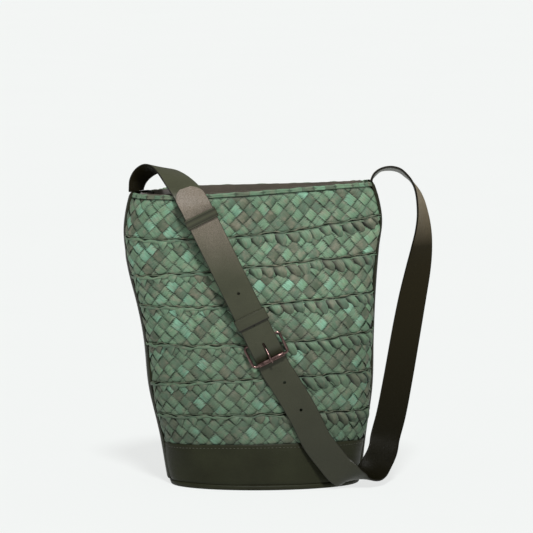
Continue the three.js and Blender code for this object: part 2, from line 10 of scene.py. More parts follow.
import bmesh
import bpy
import numpy as np
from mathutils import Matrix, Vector


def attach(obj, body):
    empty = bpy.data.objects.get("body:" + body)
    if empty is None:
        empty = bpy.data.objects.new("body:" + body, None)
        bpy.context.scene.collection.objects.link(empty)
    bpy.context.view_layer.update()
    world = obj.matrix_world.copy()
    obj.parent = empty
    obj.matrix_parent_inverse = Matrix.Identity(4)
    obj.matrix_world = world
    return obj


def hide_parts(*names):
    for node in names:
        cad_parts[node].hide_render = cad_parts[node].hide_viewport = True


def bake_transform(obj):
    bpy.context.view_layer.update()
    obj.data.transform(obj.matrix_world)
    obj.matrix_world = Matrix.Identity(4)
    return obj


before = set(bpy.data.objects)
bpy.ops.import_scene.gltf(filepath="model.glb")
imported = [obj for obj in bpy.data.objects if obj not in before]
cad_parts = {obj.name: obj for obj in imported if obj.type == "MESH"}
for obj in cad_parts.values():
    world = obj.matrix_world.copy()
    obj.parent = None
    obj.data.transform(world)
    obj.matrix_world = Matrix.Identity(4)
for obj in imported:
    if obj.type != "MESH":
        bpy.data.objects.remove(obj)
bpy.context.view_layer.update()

# ---- driving dimensions -------------------------------------------------------------------------

# The outline of the body seen from the front, as (height, x) of each side, and half of its depth.
LEFT_SIDE = [(0, -0.094), (0.045, -0.102), (0.095, -0.113), (0.145, -0.1185), (0.180, -0.125),
             (0.215, -0.134), (0.250, -0.139), (0.275, -0.137), (0.300, -0.131)]
RIGHT_SIDE = [(0, 0.091), (0.045, 0.0965), (0.095, 0.103), (0.145, 0.1045), (0.190, 0.106),
              (0.235, 0.1095), (0.262, 0.1125), (0.285, 0.109), (0.305, 0.1025)]
HALF_DEPTH = [(0, 0.064), (0.045, 0.0625), (0.100, 0.0605), (0.150, 0.0585), (0.200, 0.057),
              (0.300, 0.057)]
RIM_LEFT = 0.292                 # height of the rim at the left side
RIM_RISE = 0.009                 # how much higher it is at the right side
SIDE_FLAT = 0.013                # half of the flat side that joins the two panels
MOUTH_OPEN = 0.066               # reach of the mouth beyond the flat at its open left end
MOUTH_SHUT = 0.006               # and at its pinched right end
MOUTH_FROM = 0.150
MOUTH_ANGLES = (-80, 60)         # between which the mouth closes, in degrees from the middle
CORNER_SKEW = 0.8                # slant of the left side strip at the rim
CORNER_SKEW_EASE = 0.008
CORNER_SKEW_FROM = 0.222
CORNER_SKEW_ANGLES = (-30, -90)

# Seams between the plaited bands, each as heights at the left, middle and right of a panel. Seam 0
# is the top of the leather base band.
SEAMS = [(0.0424, 0.0455, 0.044), (0.072, 0.075, 0.0755), (0.103, 0.111, 0.114),
         (0.143, 0.145, 0.154), (0.181, 0.184, 0.1925), (0.210, 0.221, 0.230),
         (0.249, 0.252, 0.268)]
BANDS = len(SEAMS)
HEM = 0.0042
WELT_HEIGHT = 0.0052
FLOOR = 0.0055                   # height of the lining's floor
LINING_OUT = -0.0052
LINING = 0.0013
FACING_OUT = -0.0077
FACING = 0.0012
FACING_HEIGHT = 0.038

PITCH = 0.0102                   # between neighbouring strips of the plait
HALF_DIAMOND = PITCH / math.sqrt(2)
DIAMOND = 2 * HALF_DIAMOND
STRIP_THICKNESS = 0.0009
STRIP_RISE = 0.0007              # how far a strip goes out and in as it passes over and under

STRAP_WIDTH = 0.030
STRAP = 0.0024
HINGE_BAR = Vector((-0.0098, -0.0641, 0.150))
DOWN_STRAP = Vector((0.44, 0, -0.898)).normalized()
ACROSS_STRAP = Vector((0.898, 0, 0.44)).normalized()
BUCKLE_LENGTH = 0.0215           # between the hinge bar and the outer bar
BUCKLE_LIFT = -0.0036            # y of the outer bar from the hinge bar
BUCKLE_HALF_WIDTH = 0.019
WIRE = 0.0014
ROLLER_RADIUS = 0.0026
ROLLER_BORE = 0.0017
ROLLER_HALF_LENGTH = 0.014
HOLE_SPACING = 0.0332
HOLES_BELOW_PRONG = 0.005        # from the prong down to the middle of the row of holes
HOLE_RADIUS = 0.0015
UNDER_LAYER_Y = -0.06695
UPPER_LAYER_Y = -0.06965
RETURN_LAYER_Y = -0.06425

# ---- small maths --------------------------------------------------------------------------------


def smooth(t):
    c = np.clip(t, 0, 1)
    return c * c * (3 - 2 * c)


def smooth_between(span, value):
    """From 0 at the first of two values to 1 at the second."""
    return smooth((value - span[0]) / (span[1] - span[0]))


def mix(a, b, t):
    return a + (b - a) * t


def curve_at(points, at):
    """A smooth curve through (position, value) points, read at an array of positions."""
    x, y = np.array(points).T
    slope = np.empty_like(y)
    slope[1:-1] = (y[2:] - y[:-2]) / (x[2:] - x[:-2])
    slope[0] = (y[1] - y[0]) / (x[1] - x[0])
    slope[-1] = (y[-1] - y[-2]) / (x[-1] - x[-2])
    k = np.clip(np.searchsorted(x, at, side="right") - 1, 0, len(x) - 2)
    span = x[k + 1] - x[k]
    t = np.clip((at - x[k]) / span, 0, 1)
    rise = y[k + 1] - y[k]
    m0 = slope[k] * span
    m1 = slope[k + 1] * span
    return y[k] + t * (m0 + t * (3 * rise - 2 * m0 - m1 + t * (m0 + m1 - 2 * rise)))


def unit(vectors):
    return vectors / np.linalg.norm(vectors, axis=-1, keepdims=True)


def distances(points):
    """How far along a line of points each of them is."""
    steps = np.linalg.norm(np.diff(points, axis=0), axis=1)
    return np.concatenate([[0], np.cumsum(steps)])


# ---- the wall of the bag ------------------------------------------------------------------------

NORMAL_STEP = 0.01               # round the bag, to find which way is outwards
CORNER_STEP = 1 / 18             # round the bag, to the neighbour that an inner corner stays inside
CORNER_INSET = 0.96


def panel_angle(around):
    """A place round the bag goes from 0 to 1 along the front from left to right, to 2 across the right
    side, to 3 along the back, and to 4 across the left side. The angle is -90 to 90 degrees from left
    to right."""
    front = around * 2 - 1
    back = 1 - (around - 2) * 2
    turns = np.where(around <= 1, front, np.where(around <= 2, 1, np.where(around <= 3, back, -1)))
    return np.radians(90) * turns


def rim_height(around):
    across = (1 + np.sin(panel_angle(around))) / 2
    return RIM_LEFT + RIM_RISE * across ** 1.5


def wall_point(around, z):
    around, z = np.broadcast_arrays(np.asarray(around, float) % 4, np.asarray(z, float))
    angle = panel_angle(around)
    left = curve_at(LEFT_SIDE, z)
    right = curve_at(RIGHT_SIDE, z)
    mouth = smooth_between((MOUTH_FROM, RIM_LEFT), z)
    openness = 1 - smooth_between(MOUTH_ANGLES, np.degrees(angle))
    mouth_reach = mix(MOUTH_SHUT, MOUTH_OPEN, openness)
    body_reach = curve_at(HALF_DEPTH, z) - SIDE_FLAT
    reach = mix(body_reach, mouth_reach, mouth) * np.cos(angle)
    right_flat = SIDE_FLAT * (2 * (around - 1) - 1)
    left_flat = SIDE_FLAT * (1 - 2 * (around - 3))
    y = np.where(around <= 1, -(SIDE_FLAT + reach),
                 np.where(around < 2, right_flat, np.where(around <= 3, SIDE_FLAT + reach, left_flat)))
    skew = (smooth_between((CORNER_SKEW_FROM, RIM_LEFT), z)
            * smooth_between(CORNER_SKEW_ANGLES, np.degrees(angle)))
    behind = np.maximum(0, y + SIDE_FLAT)
    x = ((left + right) / 2 + (right - left) / 2 * np.sin(angle)
         + CORNER_SKEW * skew * behind ** 2 / (behind + CORNER_SKEW_EASE))
    return np.stack([x, y, z], -1)


def off_wall(around, z, off):
    """A point off the wall by a distance along its normal, outwards where it is positive."""
    ahead = wall_point(around + NORMAL_STEP, z) - wall_point(around - NORMAL_STEP, z)
    outwards = unit(np.stack([ahead[..., 1], -ahead[..., 0], np.zeros_like(ahead[..., 0])], -1))
    return wall_point(around, z) + outwards * np.asarray(off)[..., None]


def wall(around, z, off):
    """The same, but an inner layer doesn't fold over itself in the pinched right end of the mouth."""
    around, z, off = np.broadcast_arrays(*(np.asarray(a, float) for a in (around, z, off)))
    point = off_wall(around, z, off)
    inner = (off < 0) & (around >= 0.5) & (around <= 2.5)
    limit = np.where(inner, curve_at(RIGHT_SIDE, z) + off, np.inf)
    point[..., 0] = np.minimum(point[..., 0], limit)
    beside = np.abs(off_wall(np.full(z.shape, 1 - CORNER_STEP), z, off)[..., 1]) * CORNER_INSET
    corner = inner & (around >= 1) & (around <= 2)
    point[..., 1] = np.where(corner, np.clip(point[..., 1], -beside, beside), point[..., 1])
    return point


SEAM_WAVES = ((0.0005, 31, 5), (0.0004, 74, 3))     # size, pace round the bag, start at each seam
SAG = 0.0005
PANEL_STEPS = 241                # points along a panel, to measure it


def seam_height(seam, around):
    """Height of a seam at a place on either panel, with its slight waves."""
    if seam >= BANDS:
        return rim_height(around) - HEM
    left, middle, right = SEAMS[seam]
    s = np.sin(panel_angle(around))
    wave = sum(size * np.sin(around * pace + start * seam) for size, pace, start in SEAM_WAVES)
    return middle + s * (right - left) / 2 + s * s * ((right + left) / 2 - middle) + wave * (seam > 0)


def sag(x, z):
    """The soft unevenness of the plaited wall, in metres."""
    return SAG * (np.sin(41 * x + 2 + 23 * z) + np.sin(67 * z - 29 * x) + np.sin(95 * x + 60 * z + 1))


def on_panel(back, share):
    """The place round the bag at a share of a panel from its left end."""
    return 3 - share if back else share


def side_name(back):
    return "back" if back else "front"


def grid(columns, rows, low=0):
    """Shares along a piece, from low to 1, and of its height, from 0 to 1, at the points of a grid."""
    return np.meshgrid(np.linspace(low, 1, columns), np.linspace(0, 1, rows), indexing="ij")


class Panel:
    """The front or back panel, measured by the distance along it at one height."""

    def __init__(self, back, z):
        self.back = back
        self.shares = np.linspace(0, 1, PANEL_STEPS)
        points = wall_point(self.on_wall(self.shares), z)
        self.reached = distances(points)
        self.length = self.reached[-1]

    def on_wall(self, share):
        return on_panel(self.back, share)

    def around(self, along):
        return self.on_wall(np.interp(along, self.reached, self.shares))

    def point(self, along, z, off):
        around = self.around(along)
        base = wall_point(around, z)
        return wall(around, z, off + sag(base[..., 0], z))


# ---- meshes -------------------------------------------------------------------------------------


def ring_quads(rows, n, closed=False):
    """The corner numbers of the faces between rings of n points, joined end to end where closed."""
    i = np.arange(rows if closed else rows - 1)[:, None]
    j = np.arange(n)[None, :]
    after = (i + 1) % rows
    right = (j + 1) % n
    return np.stack([i * n + j, i * n + right, after * n + right, after * n + j], -1).reshape(-1, 4)


class Shape:
    """Points and faces gathered for one object, with the numbers that its materials read."""

    def __init__(self):
        self.points = []
        self.faces = []
        self.surfaces = []
        self.numbers = {}
        self.count = 0

    def add(self, points, faces, surface=0, **numbers):
        """Faces are lists of arrays of corner numbers, all counted from this call's first point."""
        points = np.asarray(points, float).reshape(-1, 3)
        for block in faces:
            self.faces.extend((np.asarray(block) + self.count).tolist())
            self.surfaces.extend([surface] * len(block))
        for name, values in numbers.items():
            kept = self.numbers.setdefault(name, [])
            kept.append((self.count, np.broadcast_to(values, (len(points),) + np.shape(values)[1:])))
        self.points.append(points)
        self.count += len(points)

    def tube(self, rings, closed=False, surface=0, **numbers):
        """Rings of points, (rings, points, 3), joined in turn, with flat ends unless it is closed."""
        rows, n = rings.shape[:2]
        blocks = [ring_quads(rows, n, closed)]
        if not closed:
            blocks.append(np.arange(n)[None, ::-1])
            blocks.append(np.arange(n)[None, :] + (rows - 1) * n)
        flat = {k: np.reshape(v, (rows * n,) + np.shape(v)[2:]) for k, v in numbers.items()}
        self.add(rings, blocks, surface, **flat)

    def stack(self, rings, centres):
        """Rings of points joined in turn, with a fan of faces round a centre at both ends."""
        rows, n = rings.shape[:2]
        j = np.arange(n)
        right = (j + 1) % n
        last = (rows - 1) * n
        below = np.stack([np.full(n, rows * n), right, j], -1)
        above = np.stack([np.full(n, rows * n + 1), last + j, last + right], -1)
        self.add(np.concatenate([rings.reshape(-1, 3), centres]), [ring_quads(rows, n), below, above])

    def slab(self, outer, inner, **numbers):
        """A thick sheet between two grids of points, (columns, rows, 3)."""
        lower = inner[:, ::-1]
        rings = np.concatenate([outer, lower], axis=1)
        doubled = {k: np.concatenate([v, v[:, ::-1]], axis=1) for k, v in numbers.items()}
        self.tube(rings, **doubled)

    def build(self, name, sharp=50):
        mesh = bpy.data.meshes.new(name)
        mesh.from_pydata(np.concatenate(self.points).tolist(), [], self.faces)
        mesh.polygons.foreach_set("material_index", self.surfaces)
        mesh.update()
        for key, parts in self.numbers.items():
            width = parts[0][1].shape[1:]
            values = np.zeros((self.count,) + width, np.float32)
            for start, part in parts:
                values[start:start + len(part)] = part
            attribute = mesh.attributes.new(key, "FLOAT_VECTOR" if width else "FLOAT", "POINT")
            attribute.data.foreach_set("vector" if width else "value", values.ravel())
        work = bmesh.new()
        work.from_mesh(mesh)
        bmesh.ops.recalc_face_normals(work, faces=work.faces)
        work.to_mesh(mesh)
        work.free()
        smooth_shading(mesh, sharp)
        obj = bpy.data.objects.new(name, mesh)
        bpy.context.scene.collection.objects.link(obj)
        return obj


def smooth_shading(mesh, sharp):
    mesh.polygons.foreach_set("use_smooth", [True] * len(mesh.polygons))
    mesh.set_sharp_from_angle(angle=math.radians(sharp))
    mesh.update()


def dress(obj, materials, nodes=(), body="bag"):
    """Gives a piece its materials and its body, and hides the CAD nodes that it stands for."""
    for material in materials:
        obj.data.materials.append(material)
    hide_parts(*nodes)
    if body:
        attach(obj, body)
    return obj


def section_round(half_width, half_height, points, power=2.0):
    """A closed rounded section as (across, out) pairs: an ellipse, or squarer with a higher power."""
    turn = np.linspace(0, 2 * np.pi, points, endpoint=False)
    c, s = np.cos(turn), np.sin(turn)
    return np.stack([half_width * np.sign(c) * np.abs(c) ** (2 / power),
                     half_height * np.sign(s) * np.abs(s) ** (2 / power)], -1)


STITCH = 0.0026                  # length of one stitch
STITCH_PITCH = 0.0038            # from one stitch to the next
THREAD_RADIUS = 0.00032
STITCH_LIFTS = np.array([-1.1, -0.1, 0.35, -0.1, -1.1])     # along one stitch, in thread radii
STITCH_SIZES = np.array([0.6, 1, 1.05, 1, 0.6])


def stitches(shape, path, outwards, surface):
    """A row of thread stitches along a path of points, each dipping into the surface at both ends."""
    reached = distances(path)
    count = int(reached[-1] // STITCH_PITCH)
    turn = np.linspace(0, 2 * np.pi, 6, endpoint=False)
    sink = STITCH_LIFTS * THREAD_RADIUS
    size = STITCH_SIZES * THREAD_RADIUS
    for k in range(count):
        at = (k + 0.15) * STITCH_PITCH + np.linspace(0, STITCH, len(sink))
        middle = np.stack([np.interp(at, reached, path[:, axis]) for axis in range(3)], -1)
        out = unit(np.stack([np.interp(at, reached, outwards[:, axis]) for axis in range(3)], -1))
        ahead = unit(np.gradient(middle, axis=0))
        side = unit(np.cross(ahead, out))
        middle = middle + out * sink[:, None]
        rings = (middle[:, None] + side[:, None] * (np.cos(turn)[None, :, None] * size[:, None, None])
                 + out[:, None] * (np.sin(turn)[None, :, None] * size[:, None, None]))
        shape.tube(rings, surface=surface)


# ---- materials ----------------------------------------------------------------------------------


class Nodes:
    """Adds shader nodes to one material, with inputs given by name."""

    def __init__(self, name):
        self.material = bpy.data.materials.new(name)
        self.material.use_nodes = True
        self.tree = self.material.node_tree
        self.shader = self.tree.nodes["Principled BSDF"]

    def add(self, kind, inputs=None, **settings):
        node = self.tree.nodes.new(kind)
        for key, value in settings.items():
            setattr(node, key, value)
        for key, value in (inputs or {}).items():
            self.put(node.inputs[key], value)
        return node

    def put(self, socket, value):
        if isinstance(value, bpy.types.NodeSocket):
            self.tree.links.new(value, socket)
        else:
            socket.default_value = value

    def set(self, **inputs):
        for key, value in inputs.items():
            self.put(self.shader.inputs[key.replace("_", " ")], value)

    def place(self, stretch=(1, 1, 1), attribute=None):
        """Where a point is on the object, or in the numbers of an attribute, stretched."""
        if attribute:
            source = self.add("ShaderNodeAttribute", attribute_name=attribute).outputs["Vector"]
        else:
            source = self.add("ShaderNodeTexCoord").outputs["Object"]
        return self.add("ShaderNodeMapping", {"Vector": source, "Scale": stretch}).outputs[0]

    def number(self, attribute):
        return self.add("ShaderNodeAttribute", attribute_name=attribute).outputs["Fac"]

    def noise(self, place, scale, detail=3.0, roughness=0.55):
        node = self.add("ShaderNodeTexNoise", {"Vector": place, "Scale": scale, "Detail": detail,
                                               "Roughness": roughness})
        return node.outputs["Fac"]

    def waves(self, place, scale, distortion, direction):
        node = self.add("ShaderNodeTexWave", {"Vector": place, "Scale": scale, "Distortion": distortion},
                        bands_direction=direction)
        return node.outputs["Fac"]

    def height(self):
        return self.add("ShaderNodeSeparateXYZ", {"Vector": self.place()}).outputs["Z"]

    def spread(self, value, low, high, to_low=0.0, to_high=1.0):
        node = self.add("ShaderNodeMapRange", {"Value": value, "From Min": low, "From Max": high,
                                               "To Min": to_low, "To Max": to_high})
        return node.outputs["Result"]

    def ramp(self, value, stops):
        node = self.add("ShaderNodeValToRGB", {"Fac": value})
        ramp = node.color_ramp
        ramp.elements.remove(ramp.elements[1])
        ramp.elements[0].position = stops[0][0]
        ramp.elements[0].color = colour(stops[0][1])
        for position, code in stops[1:]:
            ramp.elements.new(position).color = colour(code)
        return node.outputs["Color"]

    def blend(self, share, a, b):
        node = self.add("ShaderNodeMix", data_type="RGBA")
        self.put(node.inputs["Factor"], share)
        self.put(node.inputs[6], a)
        self.put(node.inputs[7], b)
        return node.outputs[2]

    def maths(self, operation, a, b):
        node = self.add("ShaderNodeMath", operation=operation)
        self.put(node.inputs[0], a)
        self.put(node.inputs[1], b)
        return node.outputs[0]

    def bump(self, height, distance, strength=1.0, under=None):
        inputs = {"Height": height, "Distance": distance, "Strength": strength}
        if under is not None:
            inputs["Normal"] = under
        return self.add("ShaderNodeBump", inputs).outputs["Normal"]


def colour(code):
    """A linear colour from a web colour."""
    parts = [int(code[k:k + 2], 16) / 255 for k in (0, 2, 4)]
    return tuple(p / 12.92 if p <= 0.04045 else ((p + 0.055) / 1.055) ** 2.4 for p in parts) + (1.0,)


def plait_material():
    """Dyed split strips: sage and teal with brown-grey patches, streaked along their fibres, with painted
    shade that darkens the lower bands and turns near black in the gaps and where strips lie in shade.
    """
    n = Nodes("plait")
    shade = n.number("shade")
    depth = n.number("depth")
    fibre = n.place((110, 1500, 1), attribute="fibre")
    streak = n.noise(fibre, 1.0, 4.0, 0.7)
    blotch = n.noise(n.place(attribute="fibre"), 150.0, 3.0)
    tint = n.ramp(shade, [(0.0, "4b5a47"), (0.15, "666c59"), (0.3, "536d59"), (0.45, "668267"),
                          (0.62, "6a8b70"), (0.76, "769878"), (0.9, "72a086"), (1.0, "88ba9e")])
    streaked = n.blend(n.spread(streak, 0.38, 0.68, 0.0, 0.6), tint, colour("424d3b"))
    aged = n.blend(n.spread(blotch, 0.48, 0.72, 0.0, 0.5), streaked, colour("8a8270"))
    height = n.height()
    # painted shade: the plait darkens towards the bottom of the bag
    with_painted_low_shade = n.blend(n.spread(height, 0.05, 0.21, 0.55, 0.0), aged, colour("2b3526"))
    # painted shade: near black where the strips, folds, rolls and backing are marked as lying in shade
    deep = n.blend(n.spread(depth, 0.0, 0.85), colour("060806"), with_painted_low_shade)
    n.set(Base_Color=deep, Roughness=n.spread(streak, 0.3, 0.7, 0.45, 0.68))
    n.set(Specular_IOR_Level=0.38)
    coarse = n.bump(streak, 0.0006, 0.9)
    n.set(Normal=n.bump(blotch, 0.0014, 0.4, under=coarse))
    return n.material


def leather_material(name, base, light, roughness):
    """Smooth dark leather with a fine pebbled grain, faint creases, and a broad tone that varies at random.
    """
    n = Nodes(name)
    place = n.place()
    cells = n.add("ShaderNodeTexVoronoi", {"Vector": place, "Scale": 1150.0}).outputs["Distance"]
    fine = n.noise(place, 900.0, 4.0)
    broad = n.noise(place, 22.0, 4.0, 0.6)
    creases = n.noise(n.place((1, 1, 3.2)), 60.0, 5.0, 0.7)
    tone = n.blend(n.spread(broad, 0.3, 0.72), colour(base), colour(light))
    grained = n.blend(n.spread(cells, 0.0, 0.55, 0.35, 0.0), tone, colour("15160f"))
    n.set(Base_Color=grained, Roughness=n.spread(fine, 0.3, 0.7, roughness - 0.06, roughness + 0.12))
    n.set(Specular_IOR_Level=0.14)
    grain = n.bump(cells, 0.00022, 0.55)
    n.set(Normal=n.bump(creases, 0.0016, 0.22, under=grain))
    return n, grained


def bag_leather():
    return leather_material("bag_leather", "1c1d10", "27291a", 0.5)[0].material


def strap_leather():
    """The strap: smooth outside with a painted pale sheen near its tip and painted shade towards the
    bottom, fibrous inside with a painted tan highlight near the top and painted shade below it, with brown
    cut edges.
    """
    n, skin = leather_material("strap_leather", "3b3d2c", "464836", 0.42)
    height = n.height()
    # painted shade: the strap darkens towards the bottom of the bag
    grained = n.blend(n.spread(height, 0.03, 0.25, 0.8, 0.0), skin, colour("1c1d12"))
    # painted sheen: a pale speckled colour in patches near the strap's tip, where the points are marked for
    # it; there it also lowers the specular
    sheen_patches = n.noise(n.place((1, 1, 0.5)), 90.0, 5.0, 0.6)
    speckled = n.noise(n.place(), 1400.0, 2.0, 0.6)
    wear_and_sheen = n.blend(n.spread(speckled, 0.35, 0.65), colour("665c52"), colour("958a7f"))
    painted_sheen = n.maths("MULTIPLY", n.number("painted_sheen"), n.spread(sheen_patches, 0.25, 0.7, 0.7, 1.0))
    with_painted_sheen = n.blend(painted_sheen, grained, wear_and_sheen)
    fibres = n.noise(n.place((1, 1, 0.6)), 420.0, 6.0, 0.75)
    # painted shade: the flesh side darkens towards the bottom of the bag
    low = n.blend(n.spread(height, 0.03, 0.24), colour("0c0b04"), colour("242013"))
    # painted highlight: a tan patch near the top of the flesh side, where the piece is marked for it
    pale = n.maths("MULTIPLY", n.number("pale"), n.spread(height, 0.235, 0.285))
    tan = n.blend(pale, low, colour("80745e"))
    inside = n.blend(n.spread(fibres, 0.3, 0.7, 0.0, 0.35), tan, colour("1a180f"))
    flesh = n.spread(n.number("flesh"), 0.35, 0.65)
    faced = n.blend(flesh, with_painted_sheen, inside)
    edged = n.blend(n.number("edge"), faced, colour("14120b"))
    shine = n.maths("MULTIPLY", n.spread(flesh, 0.0, 1.0, 0.32, 0.05), n.spread(painted_sheen, 0.0, 1.0, 1.0, 0.25))
    n.set(Base_Color=edged, Specular_IOR_Level=shine)
    return n.material


def suede_material():
    n = Nodes("suede")
    nap = n.noise(n.place(), 700.0, 6.0, 0.75)
    patches = n.noise(n.place(), 30.0, 3.0)
    tone = n.blend(n.spread(patches, 0.3, 0.7), colour("4c463d"), colour("61574b"))
    napped = n.blend(n.spread(nap, 0.3, 0.7, 0.0, 0.5), tone, colour("3a352e"))
    n.set(Base_Color=napped, Roughness=n.spread(nap, 0.3, 0.7, 0.85, 0.97), Sheen_Weight=0.35)
    n.set(Normal=n.bump(nap, 0.0004, 0.7))
    return n.material


def cloth_material():
    """The lining's plain woven cotton."""
    n = Nodes("lining_cloth")
    place = n.place()
    weave = n.maths("MULTIPLY", n.waves(place, 520.0, 0.6, "Z"), n.waves(place, 520.0, 0.6, "DIAGONAL"))
    wear_and_sheen = n.noise(place, 25.0, 4.0)
    tone = n.blend(n.spread(wear_and_sheen, 0.3, 0.7), colour("4a4439"), colour("5a5346"))
    n.set(Base_Color=n.blend(n.spread(weave, 0.0, 1.0, 0.45, 0.0), tone, colour("2c2821")))
    n.set(Roughness=n.spread(wear_and_sheen, 0.2, 0.8, 0.85, 0.95), Sheen_Weight=0.2)
    n.set(Normal=n.bump(weave, 0.0003, 0.6))
    return n.material


def board_material():
    n = Nodes("card_board")
    grain = n.noise(n.place((1, 6, 1)), 220.0, 5.0, 0.7)
    n.set(Base_Color=n.blend(grain, colour("7b6549"), colour("9a8263")))
    n.set(Roughness=n.spread(grain, 0.2, 0.8, 0.85, 0.95))
    n.set(Normal=n.bump(grain, 0.0003, 0.5))
    return n.material


def thread_material():
    n = Nodes("thread")
    twist = n.waves(n.place(), 1500.0, 0.5, "DIAGONAL")
    n.set(Base_Color=n.blend(twist, colour("1f2019"), colour("4a4a3a")))
    n.set(Roughness=n.spread(twist, 0.0, 1.0, 0.55, 0.75))
    n.set(Normal=n.bump(twist, 0.0001, 0.6))
    return n.material


def bronze_material():
    """Dark plated bronze, polished unevenly and dulled in patches."""
    n = Nodes("bronze")
    rub = n.noise(n.place(), 260.0, 5.0, 0.65)
    brush = n.noise(n.place((1, 1, 5)), 900.0, 3.0)
    n.set(Base_Color=n.ramp(rub, [(0.3, "4a3a38"), (0.55, "77605c"), (0.75, "a08680")]))
    n.set(Roughness=n.spread(brush, 0.3, 0.7, 0.16, 0.3), Metallic=1.0)
    n.set(Normal=n.bump(brush, 0.00006, 0.5))
    return n.material


PLAIT = plait_material()
LEATHER = bag_leather()
STRAP_LEATHER = strap_leather()
SUEDE = suede_material()
CLOTH = cloth_material()
BOARD = board_material()
THREAD = thread_material()
BRONZE = bronze_material()

# ---- the plaited bands --------------------------------------------------------------------------

FLATNESS = 2.6                   # how squarely a strip steps over and under
CROWN = 0.00035                  # how far its middle stands out from its edges
LIFT = 0.0008                    # the largest random rise, tilt and lean of one crossing
TILT = 0.0018
LEAN = 0.0016
TUCK = 0.0009                    # how deep a strip's end goes under the seam
TUCK_RUN = 0.3                   # and over how many crossings
WANDER = 0.035                   # of a strip sideways, in pitches
SHORTEST_STRIP = 0.12            # in pitches
SEARCH_BELOW = 6.0               # where a strip's end is looked for, in pitches
SEARCH_ABOVE = 16.0
HALVINGS = 26
TOP_LINES = np.array([-0.492, -0.44, -0.22, 0, 0.22, 0.44, 0.492])   # across a strip, in pitches
UNDER_LINES = np.array([0.38, 0, -0.38])
STEPS_PER_CELL = 5
PETAL_WIDTH = 0.0124
PETAL_LENGTHS = (0.0095, 0.0125)             # of the pointed ones and of the round ones
PETAL_PUFFS = (0.0013, 0.0020)
PETAL_CURLS = (0.0004, 0.0021)
PETAL_TUCKS = (0.0008, 0.0016)
PETAL_THICKNESS = 0.0006
PETAL_OUT = 0.0011
PETAL_END = 0.004                # no petal is nearer to the panel's ends
PETAL_EASE = 0.016               # and within this much of them it lies flatter
PETAL_ACROSS = np.array([-1, -0.86, -0.7, -0.45, -0.15, 0.15, 0.45, 0.7, 0.88, 1])[:, None]
PETAL_DOWN = np.array([0, 0.1, 0.25, 0.42, 0.6, 0.76, 0.88, 0.96, 0.995])[None, :]
PETAL_CROWDING = 0.05            # how far the petals gather towards the right end
POINTED_TO_ROUND = (0.3, 0.6)    # shares of a panel between which the petals and rolls change
BAND_GAP = 0.0003                # between a band and a seam
BACKING_GAP = 0.00022            # how far its backing goes into that gap
BAND_BACKING = -0.0019           # the sheet behind the strips, painted near black as the shade seen through their gaps
BAND_INSIDE = -0.0038


def level_at(band, origin, way, line, edge, base):
    """How far along a strip's lines a band's edge is reached, by halving."""
    low = line - SEARCH_BELOW
    high = line + SEARCH_ABOVE
    for _ in range(HALVINGS):
        middle = (low + high) / 2
        along = origin + way * HALF_DIAMOND * (middle + line)
        above = base + HALF_DIAMOND * (middle - line) > edge(band.around(along))
        high = np.where(above, middle, high)
        low = np.where(above, low, middle)
    return (low + high) / 2


def plait(shape, band, bottom, top, rng):
    """Fills a band with two families of slanting strips that pass over and under each other. On a
    strip, run counts the crossings along it and line the pitches across the band."""
    places = band.on_wall(np.linspace(0, 1, 60))
    base = bottom(places).min()
    tall = top(places).max() - base
    origin = rng.random() * DIAMOND
    lines = np.concatenate([TOP_LINES, UNDER_LINES])
    for way in (1, -1):
        ends = np.sort(way * (np.array([0, band.length]) - origin)) / HALF_DIAMOND
        first = math.floor(ends[0] / 2 - tall / DIAMOND)
        last = math.ceil(ends[1] / 2)
        middle = (np.arange(first, last) + 0.5)[:, None]
        line = middle + lines[None, :]
        run_in = np.maximum(level_at(band, origin, way, line, bottom, base), ends[0] - line)
        run_out = np.minimum(level_at(band, origin, way, line, top, base), ends[1] - line)
        kept = (run_out - run_in).min(axis=1) > SHORTEST_STRIP
        strips = [a[kept][:, None, :] for a in (line, run_in, run_out)]
        weave_strips(shape, band, way, origin, base, middle[kept][:, None, :], strips, rng)


def per_crossing(rng, cell, less=0.0):
    """A random number for every crossing of every strip, given to the strip's points there."""
    strip = np.arange(len(cell))[:, None, None]
    return (rng.random((len(cell), cell.max() + 1)) - less)[strip, cell]


def weave_strips(shape, band, way, origin, base, middle, strips, rng):
    """Adds one family of strips, stepping over and under the other family as they cross it."""
    line, run_in, run_out = strips
    count = len(line)
    steps = math.ceil((run_out - run_in).max() * STEPS_PER_CELL) + 1
    run = run_in + (run_out - run_in) * np.linspace(0, 1, steps)[None, :, None]
    crossing = run + middle - 0.5
    over = way * np.sin(np.pi * crossing)
    flat = np.tanh(FLATNESS * over) / math.tanh(FLATNESS)
    cell = np.floor(crossing).astype(int)
    cell -= cell.min(axis=(1, 2), keepdims=True)
    lift = LIFT * per_crossing(rng, cell)
    tilt = TILT * per_crossing(rng, cell, 0.5)
    lean = LEAN * per_crossing(rng, cell, 0.42)
    across = line - middle
    within = crossing % 1 - 0.5
    crown = CROWN * (1 - (2 * across) ** 2)
    off = (STRIP_RISE * flat + crown + np.clip(flat, 0, 1)
           * (lift * np.abs(over) + tilt * across + lean * within * np.abs(over)))
    tucked = smooth(np.minimum(run - run_in, run_out - run) / TUCK_RUN)
    off = off - TUCK * (1 - tucked)
    off[:, :, len(TOP_LINES):] -= STRIP_THICKNESS
    wander = WANDER * np.sin(1.7 * run + 40 * rng.random((count, 1, 1)))
    along = np.clip(origin + way * HALF_DIAMOND * (run + line + wander), 0, band.length)
    points = band.point(along, base + HALF_DIAMOND * (run - line - wander), off)
    looks = strip_looks(run, across, within, flat, tucked, cell, rng)
    for k in range(count):
        shape.tube(points[k], **{name: values[k] for name, values in looks.items()})


